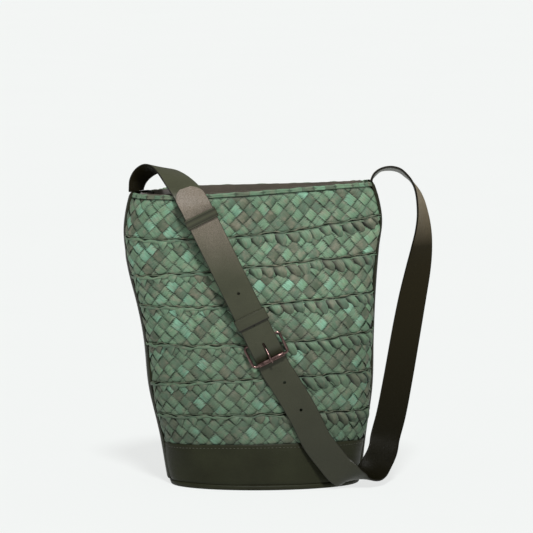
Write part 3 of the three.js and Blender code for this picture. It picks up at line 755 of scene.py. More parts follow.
def strip_looks(run, across, within, flat, tucked, cell, rng):
    """The shade of each point of the strips, how far it is out of the painted shade of the gaps, dips and
    tucked ends, and its fibres' place.
    """
    tone = 0.4 * rng.random((len(cell), 1, 1)) + 0.6 * per_crossing(rng, cell)
    # random tone per strip and crossing, plus a painted highlight that makes each crossing lighter towards
    # one edge and one end
    shade = np.clip(0.48 + (tone - 0.5) * 1.25 + 0.10 * across + 0.10 * within, 0, 1)
    # painted shade: strips darken at their edges, by a random amount at each crossing, where they dip under
    # the other family, and at their tucked ends
    edge_dark = smooth((0.5 - np.abs(across)) / 0.075)
    shadowed = 0.72 * per_crossing(rng, cell) ** 1.4
    depth = smooth((flat + 0.15) / 0.6) * mix(shadowed, 1, edge_dark) * mix(0.35, 1, tucked)
    start = rng.random((len(cell), 1, 1)) * 9
    fibre = np.stack(np.broadcast_arrays(run * PITCH + start, across * PITCH + start, start), -1)
    return {"shade": np.broadcast_to(shade, cell.shape), "depth": depth, "fibre": fibre}


def petal_roundness(share, rng):
    """The folds are pointed at the left of a panel and rounded at its right."""
    start, end = POINTED_TO_ROUND
    return float(smooth((share - start) / (end - start) + 0.3 * (rng.random() - 0.5)))


def spread_at(share):
    """How much wider than the mean a petal is, where the crowding spreads or gathers them."""
    return 1 + PETAL_CROWDING * math.pi * math.cos(math.pi * share)


def petals(shape, band, seam, rng):
    """The row of folded strip ends that puffs out under a seam, each over its right neighbour."""
    count = round(band.length / PETAL_WIDTH)
    for k in range(count):
        share = (k + 0.5 + 0.16 * (rng.random() - 0.5)) / count
        petal(shape, band, seam, share, band.length / count, rng)


def petal(shape, band, seam, share, width, rng):
    """One folded strip end. Steep is how far it is turned up, which only the last ones are."""
    across, down = PETAL_ACROSS, PETAL_DOWN
    middle = (share + PETAL_CROWDING * math.sin(math.pi * share)) * band.length
    roundness = petal_roundness(share, rng)
    steep = float(smooth((share - 0.72) / 0.2))
    power = mix(1.2, 2.6, roundness)
    length = mix(*PETAL_LENGTHS, roundness) * (0.82 + 0.34 * rng.random())
    half = width * mix(0.50, 0.56, roundness) * spread_at(share)
    slant = mix(0.05, 0.55, roundness) * (0.7 + 0.6 * rng.random()) + 0.25 * steep
    narrowing = (1 - down ** power) ** (1 / power)
    along = middle - 0.4 * slant * length + across * half * narrowing + slant * down * length
    along = np.clip(along, PETAL_END, band.length - PETAL_END)
    inboard = smooth(np.minimum(along, band.length - along) / PETAL_EASE)
    z = seam(band.around(along)) - BAND_GAP - down * length
    puff = mix(*PETAL_PUFFS, roundness) * (0.7 + 0.6 * rng.random())
    belly = np.sin(np.pi * down ** 0.8) * (1 - 0.6 * across ** 2)
    curl = mix(*PETAL_CURLS, roundness) * (0.6 + 0.7 * rng.random())
    raised = curl * smooth((across + 0.3) / 1.3) * np.sin(np.pi * np.clip(down, 0.12, 0.93))
    raised = raised * (1 + 0.7 * steep)
    tucked = mix(*PETAL_TUCKS, roundness) * smooth((-across - 0.2) / 0.8)
    off = PETAL_OUT + inboard * (puff * belly + raised) - tucked
    outer = band.point(along, z, off)
    inner = band.point(along, z, off - PETAL_THICKNESS)
    shape.slab(outer, inner, **petal_looks(roundness, steep, rng))


def petal_looks(roundness, steep, rng):
    """The shade of each point of a fold, how far it is out of the painted shade at its tucked left edge,
    its outline and both ends, and its fibres' place.
    """
    across, down = np.broadcast_arrays(PETAL_ACROSS, PETAL_DOWN)
    # random tone, with a painted highlight lighter towards the raised right side
    shade = 0.06 + mix(0.62, 0.48, roundness) * rng.random() + 0.08 * across
    # painted shade: the tucked left edge, the outline of the pointed folds and both ends go dark
    slit = mix(0.15, 0.0, roundness)
    wide = mix(0.5, 0.85 + 0.6 * rng.random() + 0.25 * steep, roundness)
    outline = mix(0.15, 1.0, smooth((1 - np.abs(across)) / 0.2))
    depth = mix(slit, 1.0, smooth((across + 0.9) / wide)) * mix(outline, 1.0, roundness)
    for end in (down, 1 - down):
        depth = depth * mix(0.3, 1.0, smooth(end / 0.14))
    start = rng.random() * 9
    fibre = np.stack([(down + 0.5 * across) * 0.012 + start, (across - 0.5 * down) * 0.006 + start,
                      np.full(across.shape, start)], -1)
    return {"shade": shade, "depth": depth, "fibre": fibre}


def roll(shape, band, height, half_height, out, half_depth, shade, rng):
    """A rolled edge along a seam. Its height is a function of the place round the bag, and its half
    height and reach are functions of the share of the panel."""
    share = np.linspace(0.001, 0.999, 150)
    along = share * band.length
    section = section_round(1, 1, 10, 2.4)
    waves = rng.random(4) * 6
    wave = 0.0004 * (np.sin(along * 210 + waves[0]) + np.sin(along * 480 + waves[1]))
    tall = half_height(share) * (1 + 0.35 * np.sin(along * 330 + waves[2]) + 0.2 * np.sin(along * 710))
    z = (height(band.around(along)) + wave)[:, None] + tall[:, None] * section[None, :, 1]
    sunk = 0.0011 * smooth(np.sin(along * 118 + waves[1]) + np.sin(along * 263 + waves[2]) - 0.2)
    off = (out(share) - sunk)[:, None] + half_depth * section[None, :, 0]
    points = band.point(np.broadcast_to(along[:, None], z.shape), z, off)
    tone = shade + 0.12 * np.sin(along * 90 + waves[3])
    # painted shade: the side of the roll towards the wall goes darker
    depth = mix(0.35, 1.0, smooth((section[None, :, 0] + 1.0) / 1.2)) * np.ones_like(z)
    fibre = np.stack([along[:, None] + 0 * z, z, 0 * z], -1)
    shape.tube(points, shade=np.broadcast_to(tone[:, None], z.shape), depth=depth, fibre=fibre)


def backing(shape, band, bottom, top):
    share, rise = grid(60, 5)
    around = band.on_wall(share)
    z = mix(bottom(around) - BACKING_GAP, top(around) + BACKING_GAP, rise)
    along = np.interp(share, band.shares, band.reached)
    outer = band.point(along, z, np.full(z.shape, BAND_BACKING))
    inner = band.point(along, z, np.full(z.shape, BAND_INSIDE))
    # painted shade: the backing is wholly dark, standing for the shade behind the strips
    none = np.zeros(z.shape)
    shape.slab(outer, inner, shade=none, depth=none)


def plaited_band(back, number):
    """One plaited band with the folds that hang over its top and the rolled lip of its lower edge."""
    rng = np.random.default_rng(100 * number + (50 if back else 0))
    middle = (SEAMS[number - 1][1] + (SEAMS[number][1] if number < BANDS else RIM_LEFT)) / 2
    band = Panel(back, middle)

    def bottom(around):
        return seam_height(number - 1, around) + BAND_GAP

    def top(around):
        return seam_height(number, around) - BAND_GAP

    def pointed_to_round(pointed, rounded):
        return lambda share: mix(pointed, rounded, smooth_between(POINTED_TO_ROUND, share))

    shape = Shape()
    backing(shape, band, bottom, top)
    plait(shape, band, bottom, top, rng)
    if number < BANDS:
        petals(shape, band, top, rng)
        roll(shape, band, lambda a: top(a) - 0.0011, pointed_to_round(0.0013, 0.0005),
             pointed_to_round(0.0021, 0.0015), 0.0007, 0.40, rng)
    if number > 1:
        roll(shape, band, lambda a: bottom(a) + 0.0004, pointed_to_round(0.0005, 0.0005),
             pointed_to_round(0.0012, 0.0012), 0.0008, 0.14, rng)
    obj = shape.build(f"{side_name(back)}_plaited_band_{number}", sharp=60)
    return dress(obj, [PLAIT], [f"{side_name(back)}_braid_{number}"])


# ---- rim, base, side strips and inside ----------------------------------------------------------


FACING_OVER_RIM = 0.0006
FACING_STITCHES_UP = 0.0035      # from the facing's lower edge
CLEAR = 0.0003                   # between the welt and what stands on it
INWARDS = -0.02                  # a reach well inside the wall, and one well outside
OUTWARDS = 0.02


HEM_PIECES = 27
HEM_DRAWS = 48                   # more than the pieces, as their numbers start above zero
HEM_LIFT = 0.0010
HEM_SECTION = np.array([
    (-0.0038, -0.0039), (-0.0003, -0.0041), (0.0004, -0.0035), (0.0005, -0.0026), (0.0003, -0.0016),
    (0.0006, -0.0010), (0.0006, -0.0004), (0.0001, 0.0001), (-0.0016, 0.0002), (-0.0038, -0.0004)])


def panel_stitches(shape, back, height, off, towards, count):
    """A row of stitches along a panel, at a height for each place and a reach for each share. They
    stand out of the leather towards a reach well inside or outside the wall."""
    share = np.linspace(0.01, 0.99, count)
    around = on_panel(back, share)
    z = height(around)
    path = wall(around, z, off(share))
    stitches(shape, path, unit(wall(around, z, np.full(count, towards)) - path), 1)


def rim_hem(back):
    """The top band's strip ends folded over the rim, each a short slanting piece under a thin roll."""
    rng = np.random.default_rng(71 + back)
    shape = Shape()
    share = np.linspace(0, 1, 520)
    around = on_panel(back, share)
    out, rise = HEM_SECTION.T[:, None]
    wave = 0.0002 * np.sin(share * 61) + 0.0002 * np.sin(share * 143 + 1)
    z = rim_height(around)[:, None] + rise + np.where(rise > -0.003, wave[:, None], 0)
    run = share[:, None] * HEM_PIECES
    run = run + 0.32 * np.sin(np.pi * run) * np.sin(rise * 900) + 3
    piece = np.floor(run).astype(int)
    within = run - piece
    tones = np.clip(rng.normal(0.5, 0.26, HEM_DRAWS), 0.05, 1)
    lifts = rng.random(HEM_DRAWS) * HEM_LIFT
    lapped = lifts[piece] * (within - 0.3) * (out > -0.001)
    points = wall(around[:, None] + 0 * z, z, out + lapped)
    # painted shade: darker at the joints where the pieces lap and along the hem's lowest edge
    joint = smooth(np.minimum(within, 1 - within) / 0.07)
    depth = mix(0.3, 1.0, joint) * np.where(rise < -0.0040, 0.5, 1.0)
    fibre = np.stack([share[:, None] * 0.3 + 0 * z, z, 0 * z], -1)
    shape.tube(points, shade=tones[piece], depth=depth, fibre=fibre)
    obj = shape.build(f"{side_name(back)}_folded_hem")
    return dress(obj, [PLAIT], [f"{side_name(back)}_rim_hem"])


def rim_facing(back):
    shape = Shape()
    share, rise = grid(90, 12)
    around = on_panel(back, share)
    rim = rim_height(around)
    z = mix(rim - FACING_HEIGHT, rim + FACING_OVER_RIM, rise)
    ripple = 0.0003 * np.sin(share * 47 + rise * 2) * (1 - rise)
    edge = 0.0006 * (1 - smooth(np.minimum(rise, 1 - rise) / 0.06))
    inner = wall(around, z, FACING_OUT - FACING + ripple + edge)
    outer = wall(around, z, FACING_OUT + ripple)
    shape.slab(outer, inner)
    panel_stitches(shape, back, lambda a: rim_height(a) - FACING_HEIGHT + FACING_STITCHES_UP,
                   lambda s: np.full(s.shape, FACING_OUT - FACING), INWARDS, 140)
    obj = shape.build(f"{side_name(back)}_suede_facing")
    return dress(obj, [SUEDE, THREAD], [f"{side_name(back)}_rim_facing"])


BASE_PROUD = 0.0014
BASE_INSIDE = -0.0037
BASE_OVER_SEAM = 0.0004
BASE_STITCHES_DOWN = 0.0032      # from the seam at the band's top
STITCH_GROOVE = 0.0004
STITCH_SINK = 0.0003             # how deep the thread lies in the groove


def dents(share, rise):
    """How the base leather swells and sinks, at a share along it and a share of its height."""
    return 0.0005 * np.sin(share * 9 + 2) * np.sin(rise * 3) + 0.0003 * np.sin(share * 23 + rise * 4)


def base_band(back):
    """The smooth leather round the foot of a panel, softly dented, stitched along its top."""
    shape = Shape()
    share, rise = grid(120, 22)
    around = on_panel(back, share)
    seam = seam_height(0, around)
    z = mix(WELT_HEIGHT + CLEAR, seam + BASE_OVER_SEAM, rise)
    rounding = 0.0009 * (1 - smooth((1 - rise) / 0.05)) + 0.0007 * (1 - smooth(rise / 0.06))
    groove = STITCH_GROOVE * np.exp(-((seam - z - BASE_STITCHES_DOWN) / 0.0007) ** 2)
    outer = wall(around, z, BASE_PROUD + dents(share, rise) - rounding - groove)
    inner = wall(around, z, np.full(z.shape, BASE_INSIDE))
    shape.slab(outer, inner)
    panel_stitches(shape, back, lambda a: seam_height(0, a) - BASE_STITCHES_DOWN,
                   lambda s: BASE_PROUD - STITCH_SINK + dents(s, 0.92), OUTWARDS, 260)
    obj = shape.build(f"{side_name(back)}_leather_base")
    return dress(obj, [LEATHER, THREAD], [f"{side_name(back)}_base_band"])


SIDE_STRIP_PROUD = 0.0036
SIDE_STRIP_INSIDE = 0.0017       # at its middle
SIDE_STRIP_PRESSED = 0.0001      # at its edges, which are pressed to the panels
SIDE_STRIP_OVER_RIM = 0.0005
SIDE_STRIP_HALF = 0.509          # round the bag, where the flat side itself is 0.5


def side_strip(right):
    """The leather strip down one side, whose edges lie over the ends of both panels."""
    side = "right" if right else "left"
    first = 1 if right else 3
    shape = Shape()
    across, rise = grid(15, 90, low=-1)
    around = first + 0.5 + SIDE_STRIP_HALF * across
    top = rim_height(around % 4) + SIDE_STRIP_OVER_RIM
    z = mix(WELT_HEIGHT + CLEAR, top, rise)
    rounding = 0.0016 * (1 - np.sqrt(1 - np.abs(across) ** 14)) + 0.001 * (1 - smooth((1 - rise) / 0.01))
    give = 0.0004 * np.sin(rise * 21 + 1) * (1 - across ** 2)
    outer = wall(around, z, SIDE_STRIP_PROUD + give - rounding)
    pressed = mix(SIDE_STRIP_INSIDE, SIDE_STRIP_PRESSED, smooth_between((0.86, 0.98), np.abs(across)))
    inner = wall(around, z, pressed)
    shape.slab(outer, inner)
    obj = shape.build(f"leather_side_strip_{side}")
    return dress(obj, [LEATHER], [f"side_strip_{side}"])


def ring_places(panel_steps, side_steps):
    """Places round the bag for a closed ring."""
    parts = []
    for side in range(4):
        steps = side_steps if side % 2 else panel_steps
        parts.append(side + np.arange(steps) / steps)
    return np.concatenate(parts)


WELT_HALF_WIDTH = 0.0021
WELT_OUT = -0.0002
WELT_POINTS = 14


def welt():
    """The round leather piping at the foot."""
    shape = Shape()
    around = ring_places(70, 12)
    section = section_round(WELT_HALF_WIDTH, WELT_HEIGHT / 2, WELT_POINTS, 2.6)
    out = WELT_OUT + section[None, :, 0]
    z = np.broadcast_to(WELT_HEIGHT / 2 + section[None, :, 1], (len(around), WELT_POINTS))
    shape.tube(wall(around[:, None] + 0 * z, z, out + 0 * z), closed=True)
    obj = shape.build("foot_piping")
    return dress(obj, [LEATHER], ["base_welt"])


PLATE_SCALES = (1, 0.97, 0.8, 0.6, 0.4, 0.2)
PLATE_ROUNDING = 0.0004


def plate(shape, ring, low, high):
    """A closed plate with the outline of a ring, with its faces in rings round the middle."""
    middle = ring.mean(axis=0)
    rings = []
    for z, order in ((low, PLATE_SCALES[::-1]), (high, PLATE_SCALES)):
        for scale in order:
            inset = PLATE_ROUNDING if scale == 1 else 0
            level = ring * scale + middle * (1 - scale)
            level[:, 2] = z + (inset if z == low else -inset)
            rings.append(level)
    centres = np.array([[middle[0], middle[1], low], [middle[0], middle[1], high]])
    shape.stack(np.array(rings), centres)


UNDERSIDE = 0.0024               # thickness of the leather under the base
UNDERSIDE_OUT = -0.0028


def base_panel():
    """The leather under the base."""
    shape = Shape()
    places = ring_places(40, 8)
    ring = wall(places, np.zeros(len(places)), np.full(len(places), UNDERSIDE_OUT))
    plate(shape, ring, 0.0, UNDERSIDE)
    obj = shape.build("leather_underside")
    return dress(obj, [LEATHER], ["base_panel"])


LINING_BELOW_RIM = 0.001
LINING_FOLD = 0.0009


def lining():
    """The cloth cup inside, hung from the rim, with soft upright folds."""
    shape = Shape()
    around = ring_places(60, 8)
    levels = np.concatenate([[0, 0.012], np.linspace(0.04, 0.97, 26), [1]])
    rim = rim_height(around) - LINING_BELOW_RIM
    rings = []
    for inside in (0, 1):
        low = FLOOR + (LINING if inside else 0)
        for level in (levels if not inside else levels[::-1]):
            z = mix(low, rim, level)
            deep = LINING_FOLD * math.sin(math.pi * min(1, level * 1.15)) ** 2
            fold = np.abs(deep * np.sin(around * 23 + 3 * level))
            out = LINING_OUT - inside * LINING - fold
            rings.append(wall(around, z, out))
    rings = np.stack(rings)
    shape.stack(rings, rings[[0, -1]].mean(axis=1))
    obj = shape.build("cloth_lining")
    return dress(obj, [CLOTH], ["lining"])


# ---- the strap ----------------------------------------------------------------------------------

STEPS_PER_ROW = 6
END_BLUNT = 0.0015
CUTTER_REACH = 0.006
FOLD_SLOT = (0.0042, 0.014)      # width and length, where the prong goes through the fold
PRONG_SLOT = (0.0026, 0.016)
PRONG_SLOT_UP = 0.0015           # of the slot's middle, from the row it is punched at
PAINTED_SHEEN_FROM = (0.205, 0.290)      # heights between which the painted pale sheen comes in


def edges(x0, y0, z0, x1, y1, z1):
    """One row of a strap's route, by its two edges: its middle and the way across."""
    a = np.array([x0, y0, z0])
    b = np.array([x1, y1, z1])
    return (a + b) / 2, unit(b - a)


def level(down, y):
    """A row of the straight stretch by its distance down the strap from the hinge bar, and its y."""
    middle = np.array(HINGE_BAR + DOWN_STRAP * down)
    middle[1] = y
    return middle, np.array(ACROSS_STRAP)


BUCKLE_STRAP_ROWS = [
    edges(-0.1368, -0.0139, 0.2929, -0.1214, 0.012, 0.2929),
    edges(-0.137, -0.014, 0.2955, -0.121, 0.012, 0.2955),
    edges(-0.1368, -0.014, 0.305, -0.118, 0.0115, 0.3005),
    edges(-0.134, -0.015, 0.313, -0.113, 0.010, 0.3055),
    edges(-0.129, -0.0165, 0.3183, -0.107, 0.007, 0.3095),
    edges(-0.1225, -0.0195, 0.3203, -0.0995, 0, 0.3133),
    edges(-0.1155, -0.026, 0.3185, -0.091, -0.009, 0.3135),
    edges(-0.109, -0.0355, 0.3125, -0.0835, -0.021, 0.311),
    edges(-0.1025, -0.0475, 0.303, -0.077, -0.035, 0.307),
    edges(-0.097, -0.0595, 0.2928, -0.0695, -0.050, 0.301),
    edges(-0.0913, -0.065, 0.2815, -0.0638, -0.0615, 0.2925),
    *[level(down, UNDER_LAYER_Y)
      for down in (-0.146, -0.138, -0.130, -0.090, -0.045, -0.010, -0.004, 0)],
    level(0.002, HINGE_BAR.y - 0.002),
    level(0.00285, HINGE_BAR.y),
    level(0.002, HINGE_BAR.y + 0.002),
    level(0, HINGE_BAR.y + 0.00285),
    level(-0.004, -0.0618),
    level(-0.009, -0.0633),
    *[level(down, RETURN_LAYER_Y) for down in (-0.014, -0.024, -0.035)],
]

# The right loop leaves the corner; LOOP_ROWS of these rows are built as a piece of their own.
LOOP_ROWS = 7
HOLE_STRAP_ROWS = [
    edges(0.1046, -0.0148, 0.3019, 0.1082, 0.0148, 0.3012),
    edges(0.105, -0.015, 0.3045, 0.109, 0.015, 0.3026),
    edges(0.1082, -0.015, 0.3103, 0.1122, 0.015, 0.306),
    edges(0.1144, -0.015, 0.3145, 0.1175, 0.015, 0.310),
    edges(0.1235, -0.015, 0.3164, 0.127, 0.015, 0.3108),
    edges(0.1327, -0.015, 0.3143, 0.1358, 0.015, 0.3086),
    edges(0.1407, -0.015, 0.3075, 0.1435, 0.015, 0.303),
    edges(0.1462, -0.015, 0.299, 0.1505, 0.015, 0.2965),
    edges(0.1495, -0.014, 0.287, 0.159, 0.014, 0.2835),
    edges(0.1509, -0.013, 0.270, 0.165, 0.013, 0.264),
    edges(0.1495, -0.012, 0.254, 0.1678, 0.011, 0.247),
    edges(0.1455, -0.010, 0.235, 0.168, 0.008, 0.227),
    edges(0.1405, -0.0085, 0.216, 0.1665, 0.005, 0.208),
    edges(0.133, -0.0085, 0.187, 0.162, 0, 0.180),
    edges(0.126, -0.010, 0.152, 0.1555, -0.006, 0.146),
    edges(0.1175, -0.014, 0.107, 0.147, -0.012, 0.100),
    edges(0.110, -0.017, 0.070, 0.1395, -0.0165, 0.064),
    edges(0.1037, -0.021, 0.0475, 0.1333, -0.020, 0.0425),
    edges(0.1015, -0.0265, 0.0375, 0.130, -0.0255, 0.0295),
    edges(0.096, -0.033, 0.0276, 0.1235, -0.031, 0.0165),
    edges(0.0885, -0.0395, 0.0165, 0.115, -0.044, 0.0105),
    edges(0.0738, -0.0485, 0.0068, 0.099, -0.060, 0.0115),
    edges(0.0672, -0.057, 0.0058, 0.0926, -0.066, 0.017),
    edges(0.0609, -0.0633, 0.0074, 0.0861, -0.0657, 0.0232),
    edges(0.054, -0.065, 0.0128, 0.079, -0.065, 0.0292),
    edges(0.0474, -0.065, 0.021, 0.0726, -0.065, 0.037),
    edges(0.0397, -0.0652, 0.0307, 0.0653, -0.0652, 0.0463),
    edges(0.0315, -0.0655, 0.0422, 0.0577, -0.0655, 0.0572),
    edges(0.0216, -0.0656, 0.063, 0.0482, -0.0656, 0.077),
    edges(0.0104, -0.065, 0.0835, 0.037, -0.065, 0.0971),
    edges(-0.0021, -0.0643, 0.1038, 0.0247, -0.0643, 0.1172),
    level(0.033, -0.0638),
    level(0.027, -0.0634),
    level(0.022, -0.0635),
    level(0.018, -0.0646),
    level(0.015, -0.0663),
    level(0.0115, -0.0683),
    level(0.007, -0.0694),
    level(0.002, -0.0698),
    *[level(down, UPPER_LAYER_Y) for down in (-0.003, -0.008, -0.045, -0.090, -0.130, -0.140)],
    level(-0.147, UPPER_LAYER_Y - 0.0008),
    edges(-0.092, -0.0688, 0.2835, -0.0647, -0.0653, 0.2945),
    edges(-0.0983, -0.0632, 0.2956, -0.0705, -0.0541, 0.304),
]
PRONG_ROW = 36                   # the row at which the prong goes through


def through(points, at):
    """A centripetal curve through points, read at an array of row numbers."""
    points = np.asarray(points, float)
    first = 2 * points[0] - points[1]
    final = 2 * points[-1] - points[-2]
    padded = np.concatenate([[first], points, [final]])
    k = np.clip(np.floor(at).astype(int), 0, len(points) - 2)
    t = (at - k)[:, None]
    p0, p1, p2, p3 = (padded[k + shift] for shift in range(4))

    def knot(a, b):
        return np.linalg.norm(b - a, axis=1, keepdims=True) ** 0.5

    d0, d1, d2 = knot(p0, p1), knot(p1, p2), knot(p2, p3)
    tiny = 1e-4
    d1 = np.where(d1 < tiny, 1.0, d1)
    d0 = np.where(d0 < tiny, d1, d0)
    d2 = np.where(d2 < tiny, d1, d2)
    m1 = ((p1 - p0) / d0 - (p2 - p0) / (d0 + d1) + (p2 - p1) / d1) * d1
    m2 = ((p2 - p1) / d1 - (p3 - p1) / (d1 + d2) + (p3 - p2) / d2) * d1
    return (p1 + t * (m1 + t * (3 * (p2 - p1) - 2 * m1 - m2 + t * (m1 + m2 - 2 * (p2 - p1)))))


class Route:
    """A strap's route through its rows, with its own frame at every step."""

    def __init__(self, rows):
        at = np.linspace(0, len(rows) - 1, (len(rows) - 1) * STEPS_PER_ROW + 1)
        middles = [row[0] for row in rows]
        delta = 0.004
        self.middle = through(middles, at)
        last = len(rows) - 1
        self.tangent = unit(through(middles, np.minimum(at + delta, last))
                            - through(middles, np.maximum(at - delta, 0)))
        across = through([row[1] for row in rows], at)
        self.normal = unit(np.cross(self.tangent, across))
        self.across = unit(np.cross(self.normal, self.tangent))
        self.length = distances(self.middle)

    def nearest(self, length):
        return int(np.abs(self.length - length).argmin())


def end_half_width(distance):
    """Half of the strap's width near a rounded end."""
    radius = STRAP_WIDTH / 2
    return np.sqrt(radius ** 2 - np.maximum(0, radius - END_BLUNT - distance) ** 2)


def strap_rings(route, first, last, round_tip=False):
    """Sections of a strap from one step to another, with rounded cut edges."""
    across = np.array([-1, -0.985, -0.955, -0.90, -0.6, -0.2, 0.2, 0.6, 0.90, 0.955, 0.985, 1])
    height = STRAP / 2 * np.sqrt(1 - np.abs(across) ** 44)
    across = np.concatenate([across, across[-2:0:-1]])
    height = np.concatenate([height, -height[-2:0:-1]])
    steps = slice(first, last + 1)
    half = np.full(last + 1 - first, STRAP_WIDTH / 2)
    if round_tip:
        half = np.minimum(half, end_half_width(route.length[-1] - route.length[steps]))
    return (route.middle[steps, None] + route.across[steps, None] * (half[:, None] * across)[..., None]
            + route.normal[steps, None] * height[None, :, None])


def cut(obj, cutters):
    """Takes closed cutters out of a piece."""
    for cutter in cutters:
        modifier = obj.modifiers.new("cut", "BOOLEAN")
        modifier.operation = "DIFFERENCE"
        modifier.object = cutter
        modifier.solver = "EXACT"
    graph = bpy.context.evaluated_depsgraph_get()
    result = bpy.data.meshes.new_from_object(obj.evaluated_get(graph))
    obj.modifiers.clear()
    obj.data = result
    for cutter in cutters:
        bpy.data.objects.remove(cutter)


def punch(middle, across, normal, tangent, outline):
    """A cutter through a strap along its normal, with an outline of (across, along) pairs."""
    rings = []
    for side in (-CUTTER_REACH, CUTTER_REACH):
        rings.append([middle + normal * side + across * a + tangent * b for a, b in outline])
    shape = Shape()
    shape.tube(np.array(rings))
    return shape.build("punch")


def slot_outline(width, length):
    """A slot with round ends."""
    turn = np.linspace(0, np.pi, 9)
    radius = width / 2
    straight = length / 2 - radius
    ahead = np.stack([radius * np.cos(turn), straight + radius * np.sin(turn)], -1)
    return np.concatenate([ahead, -ahead])


def mark_leather(obj, route, flesh_side, with_painted_sheen=0.0, pale=0.0):
    """Notes on each point whether it is on the flesh side or on a cut edge, how much painted pale sheen it
    takes, and whether it takes the painted tan highlight near the top of the flesh side.
    """
    points = np.array([v.co for v in obj.data.vertices])
    nearest = np.array([((route.middle - p) ** 2).sum(axis=1).argmin() for p in points])
    away = points - route.middle[nearest]
    out = (away * route.normal[nearest]).sum(axis=1) * flesh_side
    across = np.abs((away * route.across[nearest]).sum(axis=1))
    flesh = smooth(out / STRAP + 0.5)
    edge = smooth((across - (STRAP_WIDTH / 2 - 0.0007)) / 0.0005)
    # painted sheen: on the front only, growing with height
    painted_sheen = with_painted_sheen * smooth_between(PAINTED_SHEEN_FROM, points[:, 2]) * (points[:, 1] < -0.045)
    for key, values in (("flesh", flesh), ("edge", edge), ("painted_sheen", painted_sheen),
                        ("pale", np.full(len(points), pale))):
        attribute = obj.data.attributes.new(key, "FLOAT", "POINT")
        attribute.data.foreach_set("value", values.astype(np.float32))


def buckle_strap():
    """The short strap: from the left corner in a loop over the rim, down to the buckle and back."""
    route = Route(BUCKLE_STRAP_ROWS)
    shape = Shape()
    shape.tube(strap_rings(route, 0, len(route.length) - 1))
    obj = shape.build("short_strap", sharp=40)
    fold = punch(np.array(HINGE_BAR), np.array(ACROSS_STRAP), np.array((0, -1.0, 0)),
                 np.array(DOWN_STRAP), slot_outline(*FOLD_SLOT))
    cut(obj, [fold])
    mark_leather(obj, route, -1)
    smooth_shading(obj.data, 40)
    dress(obj, [STRAP_LEATHER], ["buckle_strap"], body=None)
    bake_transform(obj)
    return obj


def hole_strap():
    """The long strap: over the right corner, down, round at the floor and up to its round tip."""
    route = Route(HOLE_STRAP_ROWS)
    split = LOOP_ROWS * STEPS_PER_ROW
    last = len(route.length) - 1
    loop = Shape()
    loop.tube(strap_rings(route, 0, split))
    loop = loop.build("strap_loop_right", sharp=40)
    mark_leather(loop, route, 1, pale=1.0)
    dress(loop, [STRAP_LEATHER], body=None)
    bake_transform(loop)
    shape = Shape()
    shape.tube(strap_rings(route, split, last, round_tip=True))
    obj = shape.build("long_strap", sharp=40)
    prong = PRONG_ROW * STEPS_PER_ROW
    cutters = [strap_punch(route, prong, slot_outline(*PRONG_SLOT) + np.array([0, PRONG_SLOT_UP]))]
    turn = np.linspace(0, 2 * np.pi, 20, endpoint=False)
    hole = np.stack([HOLE_RADIUS * np.cos(turn), HOLE_RADIUS * np.sin(turn)], -1)
    for count in (-2, -1, 1, 2):
        step = route.nearest(route.length[prong] - HOLES_BELOW_PRONG + count * HOLE_SPACING)
        cutters.append(strap_punch(route, step, hole))
    cut(obj, cutters)
    mark_leather(obj, route, 1, with_painted_sheen=0.85, pale=1.0)
    smooth_shading(obj.data, 40)
    dress(obj, [STRAP_LEATHER], ["hole_strap"], body="strap")
    return loop, obj


def strap_punch(route, step, outline):
    return punch(route.middle[step], route.across[step], route.normal[step], route.tangent[step], outline)


# ---- the keepers and the buckle -----------------------------------------------------------------

KEEPER_CLEAR = 0.0004
KEEPER_WALL = 0.0013
KEEPER_CORNER = 0.0014
GROOVE = (0.5, 0.7)              # where a keeper's grooves are, in shares of its half width
FRAME_CORNER = 0.003
ROLLER_BEVEL = 0.0004
ROLLER_SEAM = 0.0007             # depth of the seam where the rolled sheet meets
PRONG_ROWS = ((0.0012, -0.0659), (0.0045, -0.0663), (0.0085, -0.0672), (0.012, -0.0689),
              (0.016, -0.0710), (0.0215, -0.0719), (0.0245, -0.0713))   # down the strap, and y
PRONG_SIZES = ((0, 0.001), (5.4, 0.00085), (6, 0.00045))      # half width at some of its rows
EYE_CLEAR = 0.00025
EYE_RADIUS = WIRE + 0.0014
EYE_HALF_LENGTH = 0.0015
EYE_BEVEL = 0.0003
FRAME_DOWN = (DOWN_STRAP * BUCKLE_LENGTH + Vector((0, BUCKLE_LIFT, 0))).normalized()
FRAME_NORMAL = FRAME_DOWN.cross(ACROSS_STRAP).normalized()
FRAME_LENGTH = math.hypot(BUCKLE_LENGTH, BUCKLE_LIFT)


def rounded_rectangle(half_width, low, high, radius, per_corner, per_side):
    """A closed outline as (across, along) pairs, with its straight sides in several steps."""
    corners = []
    for side, end, start in ((1, high, 0), (-1, high, 90), (-1, low, 180), (1, low, 270)):
        turn = np.radians(start + np.linspace(0, 90, per_corner))
        middle = np.array([side * (half_width - radius), end - radius if end == high else end + radius])
        corners.append(middle + radius * np.stack([np.cos(turn), np.sin(turn)], -1))
    outline = []
    for k, corner in enumerate(corners):
        following = corners[(k + 1) % 4][0]
        shares = np.linspace(0, 1, per_side + 1)[1:-1, None]
        outline.append(corner)
        outline.append(corner[-1] + (following - corner[-1]) * shares)
    return np.concatenate(outline)


def closed_rod(path, normal, section):
    """Rings of a section along a closed path that lies across a normal."""
    ahead = unit(np.roll(path, -1, axis=0) - np.roll(path, 1, axis=0))
    side = unit(np.cross(ahead, normal))
    normal = np.broadcast_to(normal, path.shape)
    return (path[:, None] + side[:, None] * section[None, :, 0, None]
            + normal[:, None] * section[None, :, 1, None])


